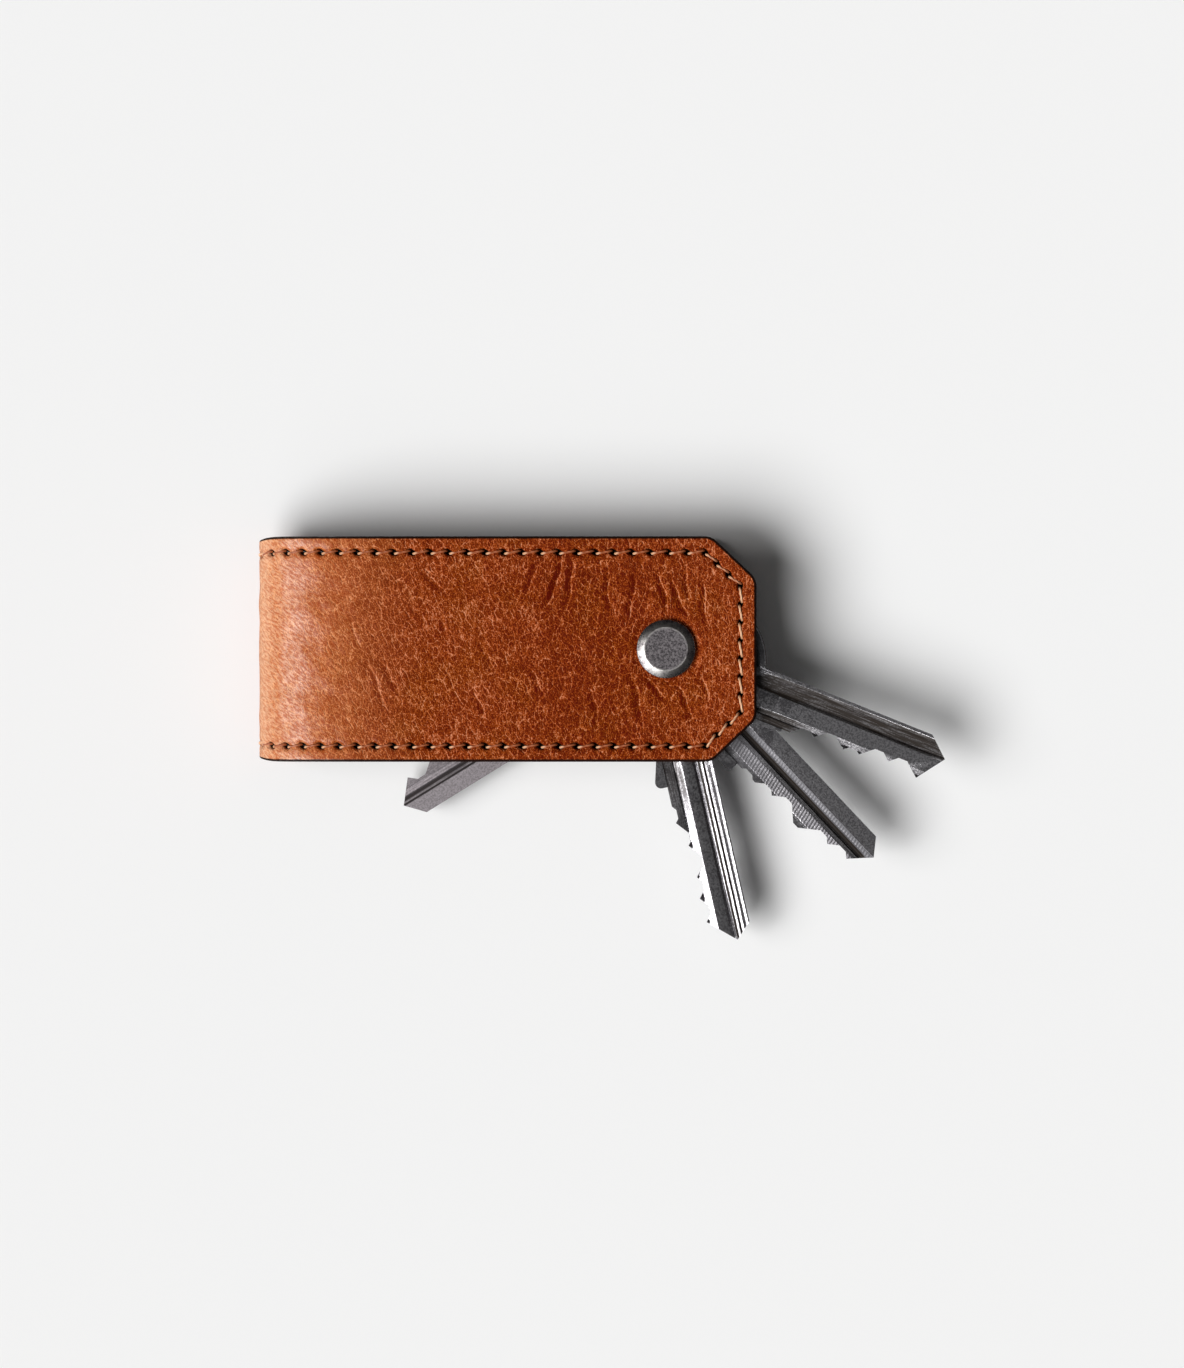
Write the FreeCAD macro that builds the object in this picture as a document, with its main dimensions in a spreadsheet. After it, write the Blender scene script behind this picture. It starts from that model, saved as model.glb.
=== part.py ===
import FreeCAD
import Part

import math
import os

import Sketcher

# Key case: a leather strap folded in half, lined and stitched all round.
# A screw post joins its two free ends, and four keys swing on the post between them.
# The origin is on the post axis, in the plane of the back leaf's outer face.
# +Z runs up the post, and the fold lies on the -X side.

# Driving sizes in millimetres
STRAP_SIZES = {
    "fold_reach": 68.0,
    "end_reach": 15.1,
    "strap_width": 37.6,
    "outer_thickness": 1.6,
    "lining_thickness": 1.0,
    "corner_cut_length": 7.5,
    "corner_cut_width": 7.1,
    "corner_round": 3.0,
}
STITCH_SIZES = {
    "stitch_inset": 2.65,
    "stitch_pitch": 3.05,
    "thread_diameter": 0.55,
    "groove_width": 0.8,
    "groove_depth": 0.6,
    "thread_seat": 0.02,
}
POST_SIZES = {
    "post_diameter": 6.0,
    "bore_diameter": 4.0,
    "bore_run_out": 2.5,
    "head_diameter": 9.8,
    "head_face_diameter": 7.3,
    "head_rim": 0.85,
    "head_height": 1.5,
    "head_sink": 0.3,
    "screw_head_height": 1.2,
    "screw_head_bevel": 0.25,
    "screw_length": 9.0,
    "screw_tip_bevel": 0.4,
    "slot_width": 1.2,
    "slot_depth": 0.6,
    "washer_diameter": 12.0,
    "washer_thickness": 0.4,
}
CLEARANCES = {
    "leather_clearance": 0.1,
    "screw_clearance": 0.05,
    "running_clearance": 0.08,
    "key_play": 0.05,
    "overrun": 1.0,
}
KEY_SIZES = {
    "key_thickness": 2.1,
    "blade_skim": 0.1,
    "bow_diameter": 23.4,
    "bow_offset": 5.5,
    "bow_bevel": 0.3,
    "shoulder_run": 5.0,
    "milling_start": 14.5,
    "milling_run_in": 6.0,
    "cut_root_width": 1.5,
}
# Each key's own sizes: reaches run from the post axis along the blade, and the angles are in degrees
SINGLE_KEY_SIZES = {
    "key_1": {
        "angle": -21.8,
        "back_edge": 3.27,
        "blade_height": 8.5,
        "shoulder_reach": 23.0,
        "shoulder_step": 0.47,
        "neck_step": 0.97,
        "tip_reach": 50.1,
        "tip_back_length": 3.5,
        "tip_cut_length": 3.9,
    },
    "key_2": {
        "angle": -46.6,
        "back_edge": 4.03,
        "blade_height": 8.5,
        "shoulder_reach": 22.1,
        "shoulder_step": 1.93,
        "neck_step": 1.53,
        "tip_reach": 49.2,
        "tip_back_length": 2.3,
        "tip_cut_length": 5.0,
    },
    "key_3": {
        "angle": -77.2,
        "back_edge": 3.58,
        "blade_height": 8.4,
        "shoulder_reach": 22.6,
        "shoulder_step": 2.18,
        "neck_step": 0.8,
        "tip_reach": 50.1,
        "tip_back_length": 2.6,
        "tip_cut_length": 5.3,
    },
    "key_4": {
        "angle": -148.3,
        "back_edge": 2.2,
        "blade_height": 6.9,
        "shoulder_reach": 23.0,
        "shoulder_step": 1.5,
        "neck_step": 0.9,
        "tip_reach": 51.1,
        "tip_back_length": 2.7,
        "tip_cut_length": 3.25,
    },
}

# Where the tip's point lies, as a share of the blade height from the back edge
TIP_SHARES = {"key_1": 0.36, "key_2": 0.32, "key_3": 0.31, "key_4": 0.43}

# Radius of the shoulder's corner, as a share of its step
SHOULDER_ROUND_SHARES = {"key_1": 0.64, "key_2": 0.41, "key_3": 0.46, "key_4": 0.4}

# First cut's place and the pitch of the cuts, as shares of the length from the shoulder to the tip
CUT_PLACE_SHARES = {
    "key_1": (0.1402, 0.155),
    "key_2": (0.0886, 0.1483),
    "key_3": (0.1745, 0.1527),
    "key_4": (0.2206, 0.1495),
}

# Depth of each cut as a share of the blade height, by the number of the cut from the shoulder
CUT_DEPTH_SHARES = {
    "key_1": {0: 0.17, 1: 0.27, 2: 0.15, 3: 0.32, 4: 0.33},
    "key_2": {0: 0.06, 1: 0.13, 2: 0.24, 4: 0.29, 5: 0.36},
    "key_3": {0: 0.07, 1: 0.21, 2: 0.36, 3: 0.26, 4: 0.28},
    "key_4": {0: 0.10, 1: 0.22, 2: 0.14, 3: 0.06, 4: 0.20},
}

# Blade sections: corners of the milled grooves on the front face, and then on the rear face.
# Each is the share of the blade height from the back edge, and the depth as a share of the thickness.
GROOVE_SHARES = {
    "key_1": (
        ((0.0, 0.0), (0.06, 0.0), (0.115, 0.16), (0.17, 0.16), (0.21, 0.36), (0.35, 0.36), (0.42, 0.0),
         (0.74, 0.0), (0.85, 0.26), (0.88, 0.06), (1.0, 0.06)),
        ((0.0, 0.0), (0.46, 0.0), (0.51, 0.3), (0.68, 0.3), (0.74, 0.0), (1.0, 0.0)),
    ),
    "key_2": (
        ((0.0, 0.0), (0.31, 0.0), (0.335, 0.1), (0.41, 0.15), (0.43, 0.3), (0.46, 0.5), (0.53, 0.5),
         (0.56, 0.12), (0.64, 0.12), (0.86, 0.23), (1.0, 0.23)),
        ((0.0, 0.0), (0.1, 0.0), (0.15, 0.32), (0.28, 0.32), (0.34, 0.0), (1.0, 0.0)),
    ),
    "key_3": (
        ((0.0, 0.0), (0.03, 0.0), (0.075, 0.13), (0.13, 0.13), (0.18, 0.28), (0.215, 0.15), (0.265, 0.3),
         (0.305, 0.3), (0.355, 0.44), (0.41, 0.0), (0.63, 0.0), (0.785, 0.34), (0.81, 0.1), (1.0, 0.1)),
        ((0.0, 0.0), (0.48, 0.0), (0.53, 0.34), (0.64, 0.34), (0.7, 0.0), (1.0, 0.0)),
    ),
    "key_4": (
        ((0.0, 0.0), (0.4, 0.0), (0.45, 0.24), (0.5, 0.24), (0.54, 0.42), (0.6, 0.1), (0.67, 0.17),
         (0.76, 0.1), (1.0, 0.12)),
        ((0.0, 0.0), (0.12, 0.0), (0.18, 0.34), (0.32, 0.34), (0.38, 0.0), (1.0, 0.0)),
    ),
}

# How far a cut's flank runs along the blade for each unit of its depth
CUT_FLANK_SHARE = 1.2

# How much of each step along the seam the visible stitch covers
STITCH_SHARE = 0.8

KEY_NAMES = tuple(SINGLE_KEY_SIZES)
WASHER_COUNT = len(KEY_NAMES) + 1

doc = FreeCAD.newDocument("key_case")
sheet = doc.addObject("Spreadsheet::Sheet", "size")


def fill_sheet():
    """Write every driving size into the sheet, with its name as the alias."""
    sizes = {**STRAP_SIZES, **STITCH_SIZES, **POST_SIZES, **CLEARANCES, **KEY_SIZES}
    for key, own_sizes in SINGLE_KEY_SIZES.items():
        sizes.update({f"{key}_{name}": value for name, value in own_sizes.items()})
    for row, (alias, value) in enumerate(sizes.items(), start=1):
        sheet.set(f"A{row}", alias)
        sheet.set(f"B{row}", str(value))
        sheet.setAlias(f"B{row}", alias)
    doc.recompute()


fill_sheet()

# Sizes that follow from the driving ones
LEAF = "(size.outer_thickness + size.lining_thickness)"
KEY_LAYER = "(size.key_thickness + 2 * size.key_play)"
STEP = f"({KEY_LAYER} + size.washer_thickness)"
STACK = f"({len(KEY_NAMES)} * {KEY_LAYER} + {WASHER_COUNT} * size.washer_thickness)"
HEIGHT = f"({STACK} + 2 * {LEAF})"
MIDDLE = f"({HEIGHT} / 2)"
FOLD_CENTRE = f"({MIDDLE} - size.fold_reach)"
HALF_WIDTH = "(size.strap_width / 2)"
HEAD_SEAT = f"({HEIGHT} - size.head_sink)"
SCREW_END = "(size.screw_head_height + size.screw_length)"
BORE_END = f"({SCREW_END} + size.bore_run_out)"
BLADE_THICKNESS = "(size.key_thickness - 2 * size.blade_skim)"


def number(expression):
    """Value of a size expression."""
    return float(sheet.evalExpression(expression))


def new_body(label, level=None, angle=None):
    """Empty body, raised to a level and turned about the post axis."""
    body = doc.addObject("PartDesign::Body", label)
    body.Label = label
    if level:
        body.setExpression("Placement.Base.z", level)
    if angle:
        body.Placement.Rotation = FreeCAD.Rotation(FreeCAD.Vector(0, 0, 1), number(angle))
        body.setExpression("Placement.Rotation.Angle", angle)
    return body


def new_sketch(body, name, role, offset=None, lift=None):
    """Sketch on one of the body's own origin planes, moved along its normal and its own Y axis."""
    sketch = body.newObject("Sketcher::SketchObject", f"{body.Label}_{name}")
    plane = next(plane for plane in body.Origin.OriginFeatures if plane.Role == role)
    sketch.AttachmentSupport = [(plane, "")]
    sketch.MapMode = "FlatFace"
    if offset:
        sketch.setExpression("AttachmentOffset.Base.z", offset)
    if lift:
        sketch.setExpression("AttachmentOffset.Base.y", lift)
    return sketch


def bind(sketch, constraint, expression):
    """Add a sketch dimension and tie it to the sheet."""
    index = sketch.addConstraint(constraint)
    sketch.setExpression(f"Constraints[{index}]", expression)


def add_circle(sketch, diameter, centre_x=None):
    """Circle on the sketch's X axis, at its origin unless a centre is given."""
    radius = number(diameter) / 2
    x = number(centre_x) if centre_x else 0
    circle = Part.Circle(FreeCAD.Vector(x, 0, 0), FreeCAD.Vector(0, 0, 1), radius)
    index = sketch.addGeometry(circle, False)
    if centre_x:
        sketch.addConstraint(Sketcher.Constraint("PointOnObject", index, 3, -1))
        bind(sketch, Sketcher.Constraint("DistanceX", index, 3, x), centre_x)
    else:
        sketch.addConstraint(Sketcher.Constraint("Coincident", index, 3, -1, 1))
    bind(sketch, Sketcher.Constraint("Diameter", index, 2 * radius), diameter)


def add_outline(sketch, corners, bends=None):
    """Closed outline through corners, whose sides are straight unless listed in bends.

    A bend is the X of its centre, and whether it runs anticlockwise from its first corner to the next.
    Only half circles between two corners with the same X are bends here.
    """
    bends = bends or {}
    points = [FreeCAD.Vector(number(x), number(y), 0) for x, y in corners]
    sides = []
    for place, start in enumerate(points):
        end = points[(place + 1) % len(points)]
        if place in bends:
            anticlockwise = bends[place][1]
            middle = (start + end) / 2
            circle = Part.Circle(middle, FreeCAD.Vector(0, 0, 1), start.distanceToPoint(end) / 2)
            first = start if anticlockwise else end
            turn = math.atan2(first.y - middle.y, first.x - middle.x)
            index = sketch.addGeometry(Part.ArcOfCircle(circle, turn, turn + math.pi), False)
            sides.append((index, 1, 2) if anticlockwise else (index, 2, 1))
        else:
            index = sketch.addGeometry(Part.LineSegment(start, end), False)
            sides.append((index, 1, 2))
    for place, (index, first, last) in enumerate(sides):
        next_index, next_first, next_last = sides[(place + 1) % len(sides)]
        sketch.addConstraint(Sketcher.Constraint("Coincident", index, last, next_index, next_first))
        x, y = corners[place]
        bind(sketch, Sketcher.Constraint("DistanceX", index, first, points[place].x), x)
        bind(sketch, Sketcher.Constraint("DistanceY", index, first, points[place].y), y)
        if place in bends:
            bind(sketch, Sketcher.Constraint("DistanceX", index, 3, points[place].x), bends[place][0])


def pad(body, sketch, length, symmetric=False):
    """Raise a sketch into a solid along its normal, or to both sides of its plane."""
    feature = body.newObject("PartDesign::Pad", f"{sketch.Label}_pad")
    feature.Profile = sketch
    feature.SideType = "Symmetric" if symmetric else "One side"
    feature.setExpression("Length", length)
    return feature


def pocket(body, sketch, depth=None, along_normal=False):
    """Cut a sketch into the body, to a depth or right through."""
    feature = body.newObject("PartDesign::Pocket", f"{sketch.Label}_pocket")
    feature.Profile = sketch
    feature.Reversed = along_normal
    if depth:
        feature.setExpression("Length", depth)
    else:
        feature.Type = "ThroughAll"
    return feature


def revolve(body, sketch):
    """Turn a half section about the sketch's vertical axis."""
    feature = body.newObject("PartDesign::Revolution", f"{sketch.Label}_turned")
    feature.Profile = sketch
    feature.ReferenceAxis = (sketch, ["V_Axis"])
    feature.Angle = 360
    return feature


def upright_edges(shape):
    """Numbers of the straight edges that run along Z, and the edges themselves."""
    return [
        (place, edge) for place, edge in enumerate(shape.Edges, start=1)
        if edge.Curve.TypeId == "Part::GeomLine" and round(abs(edge.Curve.Direction.z)) == 1
    ]


def upright_edge_at(shape, corner):
    """Name of the upright edge nearest to a corner of the plan."""
    place, edge = min(upright_edges(shape), key=lambda item: item[1].distToShape(Part.Vertex(corner))[0])
    return f"Edge{place}"


def inset_corners(inset):
    """Where the strap's outline, moved inwards, leaves its long edge and then meets its end edge."""
    slant = "sqrt(size.corner_cut_length ^ 2 + size.corner_cut_width ^ 2)"
    long_shift = f"{inset} * ({slant} - size.corner_cut_length) / size.corner_cut_width"
    end_shift = f"{inset} * ({slant} - size.corner_cut_width) / size.corner_cut_length"
    on_long_edge = (f"size.end_reach - size.corner_cut_length - {long_shift}", f"{HALF_WIDTH} - {inset}")
    on_end_edge = (f"size.end_reach - {inset}", f"{HALF_WIDTH} - size.corner_cut_width - {end_shift}")
    return on_long_edge, on_end_edge


def mirrored(points):
    """The same points on the other side of the strap's centre line, in reverse order."""
    return [(x, f"-({y})") for x, y in reversed(points)]


def seam_line(inset):
    """Half of a line round one leaf at an inset from its edge, from the fold to the end edge."""
    return [(FOLD_CENTRE, f"{HALF_WIDTH} - {inset}"), *inset_corners(inset)]


def seam_band():
    """Outline of the stitch groove on one leaf, open at the fold."""
    outside = seam_line("(size.stitch_inset - size.groove_width / 2)")
    inside = seam_line("(size.stitch_inset + size.groove_width / 2)")
    return [*outside, *mirrored(outside), *reversed(mirrored(inside)), *reversed(inside)]


def folded_leather(label, outside, thickness, groove_outside):
    """One layer of the folded strap, cut to shape, with its post hole and the groove for its seam.

    Args:
        label: the layer's name.
        outside: depth of the layer's outer face below the strap's outer face.
        thickness: the layer's thickness.
        groove_outside: whether the seam lies on the outer or the inner face.
    """
    inside = f"({outside} + {thickness})"
    body = new_body(label)

    side = new_sketch(body, "side", "XZ_Plane")
    corners = [
        ("size.end_reach", f"{HEIGHT} - {outside}"),
        (FOLD_CENTRE, f"{HEIGHT} - {outside}"),
        (FOLD_CENTRE, outside),
        ("size.end_reach", outside),
        ("size.end_reach", inside),
        (FOLD_CENTRE, inside),
        (FOLD_CENTRE, f"{HEIGHT} - {inside}"),
        ("size.end_reach", f"{HEIGHT} - {inside}"),
    ]
    add_outline(side, corners, {1: (FOLD_CENTRE, True), 5: (FOLD_CENTRE, False)})
    pad(body, side, "size.strap_width", symmetric=True)

    corner_cuts = new_sketch(body, "corner_cuts", "XY_Plane")
    cut = [
        ("size.end_reach - size.corner_cut_length", HALF_WIDTH),
        ("size.end_reach", f"{HALF_WIDTH} - size.corner_cut_width"),
        ("size.end_reach + size.overrun", f"{HALF_WIDTH} - size.corner_cut_width"),
        ("size.end_reach + size.overrun", f"{HALF_WIDTH} + size.overrun"),
        ("size.end_reach - size.corner_cut_length", f"{HALF_WIDTH} + size.overrun"),
    ]
    add_outline(corner_cuts, cut)
    add_outline(corner_cuts, mirrored(cut))
    shaped = pocket(body, corner_cuts, along_normal=True)
    doc.recompute()

    rounds = body.newObject("PartDesign::Fillet", f"{label}_corner_rounds")
    rounds.Base = (shaped, [f"Edge{place}" for place, edge in upright_edges(shaped.Shape)])
    rounds.setExpression("Radius", "size.corner_round")

    hole = new_sketch(body, "post_hole", "XY_Plane")
    add_circle(hole, "size.post_diameter + 2 * size.leather_clearance")
    pocket(body, hole, along_normal=True)

    band = seam_band()
    face = outside if groove_outside else inside
    for name, level, upwards in (
        ("front", f"{HEIGHT} - {face}", not groove_outside),
        ("back", face, groove_outside),
    ):
        seam = new_sketch(body, f"{name}_seam", "XY_Plane", offset=level)
        add_outline(seam, band)
        pocket(body, seam, "size.groove_depth", along_normal=upwards)

    if groove_outside:
        radii = (f"{MIDDLE} - {outside} - size.groove_depth", f"{MIDDLE} - {outside} + size.overrun")
    else:
        radii = (f"{MIDDLE} - {inside} - size.overrun", f"{MIDDLE} - {inside} + size.groove_depth")
    fold_seam = new_sketch(body, "fold_seam", "YZ_Plane", offset=FOLD_CENTRE, lift=MIDDLE)
    near = f"{HALF_WIDTH} - size.stitch_inset - size.groove_width / 2"
    far = f"{HALF_WIDTH} - size.stitch_inset + size.groove_width / 2"
    section = [(near, radii[0]), (far, radii[0]), (far, radii[1]), (near, radii[1])]
    add_outline(fold_seam, section)
    add_outline(fold_seam, [(f"-({y})", radius) for y, radius in reversed(section)])
    round_fold = body.newObject("PartDesign::Groove", f"{label}_fold_seam_groove")
    round_fold.Profile = fold_seam
    round_fold.ReferenceAxis = (fold_seam, ["H_Axis"])
    round_fold.Angle = 180
    round_fold.Reversed = True
    return body


def outer_leather():
    """Outer layer, with seats for the post's head in front and the screw's head at the back."""
    body = folded_leather("outer_leather", "0", "size.outer_thickness", groove_outside=True)
    seat_diameter = "size.head_diameter + 2 * size.leather_clearance"
    head_seat = new_sketch(body, "head_seat", "XY_Plane", offset=HEIGHT)
    add_circle(head_seat, seat_diameter)
    pocket(body, head_seat, "size.head_sink")
    screw_seat = new_sketch(body, "screw_seat", "XY_Plane")
    add_circle(screw_seat, seat_diameter)
    pocket(body, screw_seat, "size.screw_head_height", along_normal=True)
    return body


def lining_leather():
    """Thin inner layer, glued inside the outer one."""
    outside = "size.outer_thickness"
    return folded_leather("lining_leather", outside, "size.lining_thickness", groove_outside=False)


def straight_stitches(start, end):
    """Stitches in a row from one corner of the seam to the next."""
    run = end - start
    count = max(1, round(run.Length / number("size.stitch_pitch")))
    step = run / count
    length = step.Length * STITCH_SHARE
    lead = (1 - STITCH_SHARE) / 2
    radius = number("size.thread_diameter") / 2
    return [Part.makeCylinder(radius, length, start + step * (place + lead), run) for place in range(count)]


def fold_stitches(radius, y):
    """Stitches round the fold: each is a length of thread that follows the bend."""
    count = max(1, round(math.pi * radius / number("size.stitch_pitch")))
    turn = 180 / count
    lead = (1 - STITCH_SHARE) / 2
    centre = FreeCAD.Vector(number(FOLD_CENTRE), y, number(MIDDLE))
    upright = FreeCAD.Rotation(FreeCAD.Vector(1, 0, 0), 90)
    stitches = []
    for place in range(count):
        thread_radius = number("size.thread_diameter") / 2
        stitch = Part.makeTorus(
            radius, thread_radius, FreeCAD.Vector(), FreeCAD.Vector(0, 0, 1), 0, 360, turn * STITCH_SHARE
        )
        start = FreeCAD.Rotation(FreeCAD.Vector(0, 0, 1), 90 + (place + lead) * turn)
        stitch.Placement = FreeCAD.Placement(centre, upright * start)
        stitches.append(stitch)
    return stitches


def seam_stitches(label, face_depth, into_leather):
    """All the stitches of one layer: both leaves and both sides of the fold.

    Args:
        label: the seam's name.
        face_depth: depth of the stitched face below the strap's outer face.
        into_leather: 1 where the groove is cut inwards from the outer face, -1 from the inner face.
    """
    thread_radius = number("size.thread_diameter") / 2
    clear = number("size.groove_depth") - thread_radius - number("size.thread_seat")
    depth = number(face_depth) + into_leather * clear
    half_line = seam_line("size.stitch_inset")
    line = [(number(x), number(y)) for x, y in [*half_line, *mirrored(half_line)]]
    stitches = []
    for level in (depth, number(HEIGHT) - depth):
        corners = [FreeCAD.Vector(x, y, level) for x, y in line]
        for start, end in zip(corners, corners[1:]):
            stitches += straight_stitches(start, end)
    for y in (line[0][1], line[-1][1]):
        stitches += fold_stitches(number(MIDDLE) - depth, y)
    seam = doc.addObject("Part::Feature", label)
    seam.Label = label
    seam.Shape = Part.makeCompound(stitches)
    seam.Placement = FreeCAD.Placement()
    return seam


def post_barrel():
    """Front half of the post: a broad bevelled head on a barrel that is bored from behind."""
    body = new_body("post_barrel")
    half = new_sketch(body, "half_section", "XZ_Plane")
    add_outline(half, [
        ("size.bore_diameter / 2", "size.screw_head_height"),
        ("size.post_diameter / 2", "size.screw_head_height"),
        ("size.post_diameter / 2", HEAD_SEAT),
        ("size.head_diameter / 2", HEAD_SEAT),
        ("size.head_diameter / 2", f"{HEAD_SEAT} + size.head_rim"),
        ("size.head_face_diameter / 2", f"{HEAD_SEAT} + size.head_height"),
        ("0", f"{HEAD_SEAT} + size.head_height"),
        ("0", BORE_END),
        ("size.bore_diameter / 2", BORE_END),
    ])
    revolve(body, half)
    return body


def post_screw():
    """Back half of the post: a slotted screw whose head lies flush with the back leaf."""
    body = new_body("post_screw")
    shank = "size.bore_diameter / 2 - size.screw_clearance"
    half = new_sketch(body, "half_section", "XZ_Plane")
    add_outline(half, [
        ("0", "0"),
        ("size.head_diameter / 2 - size.screw_head_bevel", "0"),
        ("size.head_diameter / 2", "size.screw_head_bevel"),
        ("size.head_diameter / 2", "size.screw_head_height"),
        (shank, "size.screw_head_height"),
        (shank, f"{SCREW_END} - size.screw_tip_bevel"),
        (f"{shank} - size.screw_tip_bevel", SCREW_END),
        ("0", SCREW_END),
    ])
    revolve(body, half)
    slot = new_sketch(body, "slot", "XY_Plane")
    slot_end = "size.head_diameter / 2 + size.overrun"
    add_outline(slot, [
        (f"-({slot_end})", "-size.slot_width / 2"),
        (slot_end, "-size.slot_width / 2"),
        (slot_end, "size.slot_width / 2"),
        (f"-({slot_end})", "size.slot_width / 2"),
    ])
    pocket(body, slot, "size.slot_depth", along_normal=True)
    return body


def washer(place):
    """Thin washer on the post, counted from the front leaf."""
    from_back = WASHER_COUNT - place
    body = new_body(f"washer_{place}", level=f"{LEAF} + {from_back} * {STEP}")
    ring = new_sketch(body, "ring", "XY_Plane")
    add_circle(ring, "size.washer_diameter")
    add_circle(ring, "size.post_diameter + 2 * size.running_clearance")
    pad(body, ring, "size.washer_thickness")
    return body


def milled_section(body, name, side, reach, run_in_share):
    """Section of the metal that is milled off one face of a key's blade, some way along the blade.

    Args:
        body: the key's body.
        name: the key's name.
        side: front or rear.
        reach: where the section lies, from the post axis along the blade.
        run_in_share: how much of the full depth the cutter has reached there.
    """
    own = f"size.{name}"
    front, rear = GROOVE_SHARES[name]
    outline = [
        (f"{own}_back_edge - {across} * {own}_blade_height",
         f"{run_in_share} * (size.blade_skim + {depth} * {BLADE_THICKNESS})")
        for across, depth in (front if side == "front" else rear)
    ]
    outline += [(outline[-1][0], "-size.overrun"), (outline[0][0], "-size.overrun")]
    if side == "front":
        outline = [(across, f"size.key_thickness - ({depth})") for across, depth in outline]
    index = len(body.Group)
    section = new_sketch(body, f"{side}_section_{index}", "YZ_Plane", offset=reach)
    add_outline(section, outline)
    return section


def mill_blade(body, name, side):
    """Grooves along one face of the blade, which deepen as the cutter runs in from the bow."""
    full_depth = "size.milling_start + size.milling_run_in"
    beyond = f"size.{name}_tip_reach + size.overrun"
    cut = body.newObject("PartDesign::SubtractiveLoft", f"{name}_{side}_milling")
    cut.Profile = milled_section(body, name, side, "size.milling_start", 0)
    cut.Sections = [
        milled_section(body, name, side, full_depth, 1),
        milled_section(body, name, side, beyond, 1),
    ]
    cut.Ruled = True


def key(name, place):
    """One key: a round bow on the post, a shouldered neck, and a grooved blade with its cuts.

    Args:
        name: the key's name.
        place: its place in the stack, counted from the front leaf.
    """
    own = f"size.{name}"
    from_back = len(KEY_NAMES) - place
    level = f"{LEAF} + size.washer_thickness + size.key_play + {from_back} * {STEP}"
    body = new_body(name, level=level, angle=f"{own}_angle")
    back = f"{own}_back_edge"
    cut_edge = f"({back} - {own}_blade_height)"

    bow = new_sketch(body, "bow", "XY_Plane")
    add_circle(bow, "size.bow_diameter", "size.bow_offset")
    disc = pad(body, bow, "size.key_thickness")
    doc.recompute()
    bevel = body.newObject("PartDesign::Chamfer", f"{name}_bow_bevel")
    rims = [
        f"Edge{number_of_edge}" for number_of_edge, edge in enumerate(disc.Shape.Edges, start=1)
        if edge.Curve.TypeId == "Part::GeomCircle"
    ]
    bevel.Base = (disc, rims)
    bevel.setExpression("Size", "size.bow_bevel")

    shoulder_y = f"{cut_edge} - {own}_shoulder_step"
    stem = new_sketch(body, "stem", "XY_Plane")
    add_outline(stem, [
        ("size.bow_offset", back),
        ("size.bow_offset", f"{cut_edge} - {own}_neck_step"),
        (f"{own}_shoulder_reach - size.shoulder_run", f"{cut_edge} - {own}_neck_step"),
        (f"{own}_shoulder_reach", shoulder_y),
        (f"{own}_shoulder_reach", cut_edge),
        (f"{own}_tip_reach - {own}_tip_cut_length", cut_edge),
        (f"{own}_tip_reach", f"{back} - {TIP_SHARES[name]} * {own}_blade_height"),
        (f"{own}_tip_reach - {own}_tip_back_length", back),
    ])
    blank = pad(body, stem, "size.key_thickness")
    doc.recompute()
    shoulder = FreeCAD.Vector(number(f"{own}_shoulder_reach"), number(shoulder_y), 0)
    stop = body.newObject("PartDesign::Fillet", f"{name}_shoulder_round")
    stop.Base = (blank, [upright_edge_at(blank.Shape, shoulder)])
    stop.setExpression("Radius", f"{SHOULDER_ROUND_SHARES[name]} * {own}_shoulder_step")

    mill_blade(body, name, "front")
    mill_blade(body, name, "rear")

    first_share, pitch_share = CUT_PLACE_SHARES[name]
    for from_shoulder, depth_share in CUT_DEPTH_SHARES[name].items():
        cut = new_sketch(body, f"cut_{from_shoulder}", "XY_Plane")
        share = first_share + from_shoulder * pitch_share
        middle = f"({own}_shoulder_reach + {share} * ({own}_tip_reach - {own}_shoulder_reach))"
        depth = f"{depth_share} * {own}_blade_height"
        half_root = "size.cut_root_width / 2"
        half_mouth = f"({half_root} + {CUT_FLANK_SHARE} * {depth})"
        add_outline(cut, [
            (f"{middle} - {half_root}", f"{cut_edge} + {depth}"),
            (f"{middle} - {half_mouth}", cut_edge),
            (f"{middle} - {half_mouth}", f"{cut_edge} - size.overrun"),
            (f"{middle} + {half_mouth}", f"{cut_edge} - size.overrun"),
            (f"{middle} + {half_mouth}", cut_edge),
            (f"{middle} + {half_root}", f"{cut_edge} + {depth}"),
        ])
        pocket(body, cut, along_normal=True)

    hole = new_sketch(body, "hole", "XY_Plane")
    add_circle(hole, "size.post_diameter + 2 * size.running_clearance")
    pocket(body, hole, along_normal=True)
    return body


def check_document(parts):
    """Stop if any object failed, any cut removed nothing, or any sub-part isn't a sound solid."""
    for item in doc.Objects:
        if "Invalid" in item.State or "Error" in item.State:
            raise RuntimeError(f"{item.Label} failed: {item.State}")
        if item.TypeId in ("PartDesign::Pocket", "PartDesign::Groove", "PartDesign::SubtractiveLoft"):
            if item.Shape.Volume >= item.BaseFeature.Shape.Volume:
                raise RuntimeError(f"{item.Label} cuts nothing")
    for part in parts:
        if part.Shape.isNull() or not part.Shape.isValid():
            raise RuntimeError(f"{part.Label} has no valid shape")


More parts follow.
